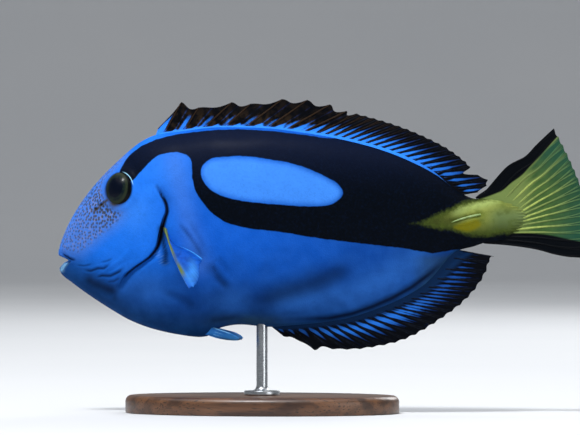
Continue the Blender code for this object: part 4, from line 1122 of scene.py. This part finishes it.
# Painted web and rays of the tail: satin, olive green between yellow rays, greener towards the edge
tail_web, tree, shader, place = new_material("yellow and olive satin web")
cloud = add(tree, "ShaderNodeTexNoise", {"Vector": place, "Scale": 300, "Detail": 3})
olive = coats(
    tree, 0x466232,
    (0x38542C, (cloud, 0.3, 0.7)),
    (0x204636, "outer"),
    (0x6C7E46, "foot"),
    (0x98A65A, "beam"),
)
web_colour = coats(tree, 0x04070C, (olive, ("yellow", -0.35, 0.35)))
feed(shader, {
    "Base Color": web_colour, "Roughness": 0.48, "Specular IOR Level": 0.04, "Normal": creases(tree, place),
})
tail_ray, tree, shader, place = new_material("yellow satin ray")
segments = add(tree, "ShaderNodeTexNoise", {"Vector": place, "Scale": 800, "Detail": 2})
ray_colour = coats(
    tree, 0x76884A,
    (0xA6B660, "bold"),
    (0x466A46, ("out", 14, 36)),
    (0x76864A, "rooted"),
    (0x4A6034, (segments, 0.45, 0.7, 0.35)),
)
ray_colour = coats(tree, 0x04070C, (ray_colour, ("yellow", -0.35, 0.35)))
feed(shader, {"Base Color": ray_colour, "Roughness": 0.45, "Specular IOR Level": 0.07})

web, u, v, out = fin_web("caudal_web", caudal, CAUDAL_RAY_COUNT, tail_web, thick=1.5)
part = u - ray_before(u, CAUDAL_RAY_COUNT)
near_ray = np.abs(2 * part - 1) ** 2 * (0.75 + 0.25 * np.sin(2.4 * np.round(u)))
site_x = caudal(u, v)[..., 0] / MM
keep_values(
    web,
    outer=fade(out, 16, 38),
    foot=1 - fade(site_x, 115.5 + 2 * near_ray, 123 + 15 * near_ray),
    beam=near_ray ** 2 * fade(site_x, 114, 119) * (1 - fade(site_x, 121, 142)),
)
yellow_inside(web)
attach(web, "root")
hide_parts("caudal_fin")
paths = ray_paths(range(CAUDAL_RAY_COUNT), CAUDAL_SPREAD, CAUDAL_FORKS)
rays, ray_number, _ = fin_rays("caudal_rays", caudal, paths, CAUDAL_RAY_RADIUS, tail_ray)
rooted = 1 - fade(yellow_inside(rays), 110, 119)
keep_values(rays, bold=0.5 + 0.5 * np.sin(2.4 * np.round(ray_number)), rooted=rooted)
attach(rays, "root")

# The pectoral fins: a small fan behind each gill slit, swung out, down and back, as in mid-stroke. Thirteen
# fine rays in a thin pale web, with an olive-yellow leading edge.
PECTORAL_ROOT = ((-42.2, -1.2), (-40.6, -9.6))
PECTORAL_TIPS = (
    (-26.5, 42, -28.4), (-24.5, 41.5, -27.8), (-23.2, 40, -26), (-22.6, 38, -23.6),
    (-22.8, 35.5, -20.7), (-23.1, 32.5, -18.1), (-22.7, 29, -16.6), (-23, 26, -15.5),
)
PECTORAL_BOW = ((-0.9, 1, -0.6), (0, 1, 1.6))
PECTORAL_SUNK, PECTORAL_NOTCH = 1.9, 0.015
PECTORAL_RAY_COUNT, PECTORAL_RAY_RADIUS = 13, 0.26
PECTORAL_SPREAD, PECTORAL_FORKS = 0.22, ((0.55, 0.7),)

# Satin web in a clear deep blue, lighter at its trailing edge, and its rays a paler blue, both with an
# olive leading edge
pale_web, tree, shader, place = new_material("pale blue satin web")
cloud = add(tree, "ShaderNodeTexNoise", {"Vector": place, "Scale": 350, "Detail": 3})
web_colour = coats(tree, 0x083C90, (0x0C4CB0, (cloud, 0.3, 0.7)), (0x429AEA, "pale"), (0x54643A, "lead"))
feed(shader, {"Base Color": web_colour, "Roughness": 0.5, "Specular IOR Level": 0.05})
pale_ray, tree, shader, place = new_material("pale satin ray")
segments = add(tree, "ShaderNodeTexNoise", {"Vector": place, "Scale": 800, "Detail": 2})
ray_colour = coats(
    tree, 0x1048A8,
    (0x74B4E8, "pale"),
    (0x70804A, "lead"),
    (0x0C3470, (segments, 0.45, 0.7, 0.3)),
)
feed(shader, {"Base Color": ray_colour, "Roughness": 0.5, "Specular IOR Level": 0.05})

parts = np.linspace(0, 1, PECTORAL_RAY_COUNT)
root, tips = spread_along(PECTORAL_ROOT, parts), spread_along(PECTORAL_TIPS, parts)
bows = np.linspace(*PECTORAL_BOW, PECTORAL_RAY_COUNT)
for side, word in SIDES:

    def pectoral(u, v):
        """The pectoral fin's middle surface on this side."""
        u = np.clip(u, 0, PECTORAL_RAY_COUNT - 1)
        foot_x, foot_height = between(root, u)
        foot = np.stack([foot_x, plain_half_width(foot_x, foot_height) - PECTORAL_SUNK, foot_height])
        reach = sagged(v, PECTORAL_NOTCH, u - ray_before(u, PECTORAL_RAY_COUNT))
        x, y, height = foot + (between(tips, u) - foot) * reach + between(bows, u) * 4 * v * (1 - v)
        return points_of(x, side * y, height)

    name = f"pectoral_web_{word}"
    web, u, v, _ = fin_web(name, pectoral, PECTORAL_RAY_COUNT, pale_web, thin=0.42, thick=1.6)
    lead = (1 - fade(u, 0.6, 1.6)) * (1 - 0.6 * fade(v, 0.35, 0.5) * (1 - fade(v, 0.55, 0.66)))
    # Paler at the trailing edge and near the tip: partly the fin's pale colour, partly painted highlight where
    # it bends
    pale = 0.85 * fade(u, 10.6, 11.8) * fade(v, 0.1, 0.3) + 0.45 * bell(v - 0.86, 0.12) * bell(u - 4, 3.4)
    pale += 0.2 * bell(u - 1.2, 0.7) * fade(v, 0.4, 0.75)
    keep_values(web, lead=lead * (1 - fade(v, 0.72, 0.86)), pale=np.clip(pale, 0, 1))
    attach(web, "root")
    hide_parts(f"pectoral_fin_{word}")
    paths = ray_paths(range(PECTORAL_RAY_COUNT), PECTORAL_SPREAD, PECTORAL_FORKS)
    name = f"pectoral_rays_{word}"
    rays, ray_number, out = fin_rays(name, pectoral, paths, PECTORAL_RAY_RADIUS, pale_ray)
    tips_of_rays = fade(out, 22, 36)
    keep_values(
        rays,
        lead=(1 - fade(ray_number, 0.5, 1.2)) * (1 - fade(out, 14, 30)),
        # Paler rays at the trailing edge and the tips: partly the fin's pale colour, partly painted highlight
        pale=0.85 * fade(ray_number, 10.6, 11.9) * (1 - 0.4 * tips_of_rays) + 0.4 * tips_of_rays,
    )
    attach(rays, "root")

# The pelvic fins: two short, narrow fans folded back under the belly, each a spine and three rays in a
# pale web, painted like the pectoral fins.
PELVIC_ROOT = ((-25.4, 1.5), (-22.2, 2.8))
PELVIC_TIPS = ((-9.9, 4.2, -52.1), (-9.5, 6.2, -51.4), (-10.6, 7.6, -50.4), (-12.9, 8.2, -49.2))
PELVIC_SUNK, PELVIC_DROOP, PELVIC_RAY_RADIUS = 0.8, 0.9, 0.34
count = len(PELVIC_TIPS)
root, tips = np.linspace(*PELVIC_ROOT, count), np.array(PELVIC_TIPS)


def belly_height(x, y):
    """The height of the belly's skin at a distance y from the middle."""
    top, low = back(x), keel(x)
    waist = low + WIDEST * (top - low)
    part = (1 - (y / girth(x)) ** (1 / EDGE_SOFTNESS)) ** (1 / BELLY_ROUNDNESS)
    return waist - part * (waist - low)


for side, word in SIDES:

    def pelvic(u, v):
        """The pelvic fin's middle surface on this side."""
        foot_x, foot_y = between(root, u)
        foot = np.stack([foot_x, foot_y, belly_height(foot_x, foot_y) + PELVIC_SUNK])
        x, y, height = foot + (between(tips, u) - foot) * v
        return points_of(x, side * y, height - PELVIC_DROOP * 4 * v * (1 - v) * (1 - u / (count - 1)))

    web, u, v, _ = fin_web(f"pelvic_web_{word}", pelvic, count, pale_web, thin=0.5, thick=1.8)
    keep_values(
        web,
        lead=0.55 * (1 - fade(u, 0.2, 0.9)) * fade(v, 0.3, 0.6),
        pale=0.35 + 0.3 * bell(u - 1.6, 0.8) + 0.3 * fade(v, 0.5, 0.9),
    )
    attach(web, "root")
    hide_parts(f"pelvic_fin_{word}")
    name = f"pelvic_rays_{word}"
    rays, *_ = fin_rays(name, pelvic, ray_paths(range(count)), PELVIC_RAY_RADIUS, pale_ray)
    keep_values(rays, pale=1)
    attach(rays, "root")

# The base: an oval slab of walnut with a rounded, routed edge, sanded and wiped with satin oil. The fish's
# rod stands in its middle, in a drilled hole under the rod's foot.
BASE_LENGTH, BASE_WIDTH, BASE_THICKNESS = 124, 80, 8
BASE_SIDES = 160
# From the underside up over the edge: how far in from the edge, and how high
BASE_PROFILE = (
    (3, 0), (0.6, 0), (0.15, 0.2), (0, 0.6), (0, 5.4), (0.25, 6.4), (0.9, 7.3), (1.8, 7.85),
    (2.6, BASE_THICKNESS),
)

# Open-pored dark wood under oil: light and dark bands about 5 mm broad and elevenfold as long, and pores
# about 0.7 mm across, drawn coarser than real so that they show
walnut, tree, shader, place = new_material("satin oiled walnut")
stretched = add(tree, "ShaderNodeMapping", {"Vector": place, "Scale": (0.09, 1, 1)})
figure = {"Vector": stretched, "Scale": 190, "Detail": 5, "Distortion": 0.6}
figure = add(tree, "ShaderNodeTexNoise", figure)
pores = add(tree, "ShaderNodeTexNoise", {"Vector": stretched, "Scale": 1500, "Detail": 2})
wood = coats(tree, 0x3A2417, (0x6E4A30, (figure, 0.32, 0.68)), (0x25160E, (pores, 0.56, 0.7)))
pitted = add(tree, "ShaderNodeBump", {"Strength": 0.25, "Distance": 0.0003, "Height": pores})
feed(shader, {
    "Base Color": wood, "Roughness": 0.38, "Coat Weight": 0.2, "Coat Roughness": 0.3, "Normal": pitted,
})

profile = [(BASE_LENGTH / 2 - inset, BASE_WIDTH / 2 - inset, up) for inset, up in BASE_PROFILE]
base = turned("display_base", profile, BASE_SIDES, walnut)
base.data.set_sharp_from_angle(angle=math.radians(50))
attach(base, "root")
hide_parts("stand_base")

# The rod: stainless steel, turned in one piece with its round foot and brushed round its axis. Its top
# sits in a socket in the belly.
ROD_RADIUS, ROD_FOOT_RADIUS, ROD_FOOT_THICKNESS, ROD_FOOT_GAP = 2.5, 8, 1.8, 0.3
SOCKET_DEPTH = 6
ROD_SIDES = 96
foot = BASE_THICKNESS + ROD_FOOT_GAP
rim = foot + ROD_FOOT_THICKNESS
top = AXIS_HEIGHT + float(keel(0)) + SOCKET_DEPTH
profile = (
    (ROD_RADIUS - 0.5, top), (ROD_RADIUS - 0.15, top - 0.15), (ROD_RADIUS, top - 0.5),
    (ROD_RADIUS, rim + 2.2), (ROD_RADIUS + 0.25, rim + 1.4), (ROD_RADIUS + 0.8, rim + 0.6),
    (ROD_RADIUS + 1.5, rim + 0.15),
    (ROD_RADIUS + 2.4, rim), (ROD_FOOT_RADIUS - 0.5, rim), (ROD_FOOT_RADIUS - 0.15, rim - 0.12),
    (ROD_FOOT_RADIUS, rim - 0.4), (ROD_FOOT_RADIUS, foot + 0.2), (ROD_FOOT_RADIUS - 0.2, foot),
)

# Brushed metal: fine scratches round the axis, which draw its highlight out into a soft band
steel, tree, shader, place = new_material("brushed stainless steel")
brushed = add(tree, "ShaderNodeMapping", {"Vector": place, "Scale": (1, 1, 14)})
scratches = add(tree, "ShaderNodeTexNoise", {"Vector": brushed, "Scale": 500, "Detail": 3})
metal = coats(tree, 0xA9ADB2, (0xC6CACD, (scratches, 0.3, 0.7)))
rough = {"Value": scratches, "From Min": 0.3, "From Max": 0.7, "To Min": 0.24, "To Max": 0.36}
feed(shader, {"Base Color": metal, "Roughness": add(tree, "ShaderNodeMapRange", rough), "Metallic": 1})

rod = turned("display_rod", [(radius, radius, up) for radius, up in profile], ROD_SIDES, steel)
rod.data.set_sharp_from_angle(angle=math.radians(40))
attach(rod, "root")
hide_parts("stand_rod")

# The studio: a pale paper floor that curves up all round into a wall, so that every view has the same
# ground, under a broad, soft light overhead, a small key light and a fill on the camera's side, a light
# behind and an even sky.
FLOOR_RADIUS, WALL_RADIUS, WALL_HEIGHT = 4600, 7500, 3400
FLOOR_SIDES, FLOOR_RINGS = 96, 24
LAMPS_AIM = Vector((0, 0, 0.09))

# Matt paper, a shade uneven, which takes soft shadows and gives no highlight
paper, tree, shader, place = new_material("matt pale paper")
tone = add(tree, "ShaderNodeTexNoise", {"Vector": place, "Scale": 3, "Detail": 2})
paper_colour = coats(tree, 0xC9CCD0, (0xCFD1D4, tone))
feed(shader, {"Base Color": paper_colour, "Roughness": 0.95, "Specular IOR Level": 0.2})

profile = []
for rise in np.linspace(0, math.pi / 2, FLOOR_RINGS):
    radius = FLOOR_RADIUS + (WALL_RADIUS - FLOOR_RADIUS) * math.sin(rise)
    profile.append((radius, radius, WALL_HEIGHT * (1 - math.cos(rise))))
ground = turned("studio_floor", profile, FLOOR_SIDES, paper, caps=1)

world = bpy.data.worlds.new("studio")
bpy.context.scene.world = world
world.use_nodes = True
feed(world.node_tree.nodes["Background"], {"Color": 0xE9EDF2, "Strength": 0.2})
for name, stand, size, watts in (
    ("ceiling_light", (0, 0, 4.2), 8, 195),
    ("key_light", (-0.3, -0.9, 1.75), 0.4, 32),
    ("fill_light", (1.9, -1.2, 0.7), 1, 8),
    ("back_light", (0.9, 1.9, 1.2), 1.1, 22),
):
    light = bpy.data.lights.new(name, "AREA")
    light.shape = "DISK"
    light.size = size
    light.energy = watts
    lamp = into_scene(name, light)
    lamp.location = stand
    lamp.rotation_euler = (LAMPS_AIM - Vector(stand)).to_track_quat("-Z", "Y").to_euler()
bpy.context.scene.view_settings.view_transform = "Standard"

# The camera: the photograph's framing, level with the fish and 8 degrees behind square to its left side,
# from far enough away that near and far parts keep their true proportions.
CAMERA_AZIMUTH = math.radians(8)
CAMERA_DISTANCE = 2.2
FRAME_WIDTH = 0.261
AIM_ASIDE, AIM_HEIGHT = 0.0126, 0.08798
camera = bpy.data.cameras.new("camera")
camera.sensor_width = 36
camera.lens = camera.sensor_width * CAMERA_DISTANCE / FRAME_WIDTH
camera.clip_end = 60
eyepiece = into_scene("camera", camera)
aside = Vector((math.cos(CAMERA_AZIMUTH), math.sin(CAMERA_AZIMUTH), 0))
backwards = Vector((math.sin(CAMERA_AZIMUTH), -math.cos(CAMERA_AZIMUTH), 0))
eyepiece.location = aside * AIM_ASIDE + Vector((0, 0, AIM_HEIGHT)) + backwards * CAMERA_DISTANCE
eyepiece.rotation_euler = (math.radians(90), 0, CAMERA_AZIMUTH)
bpy.context.scene.camera = eyepiece
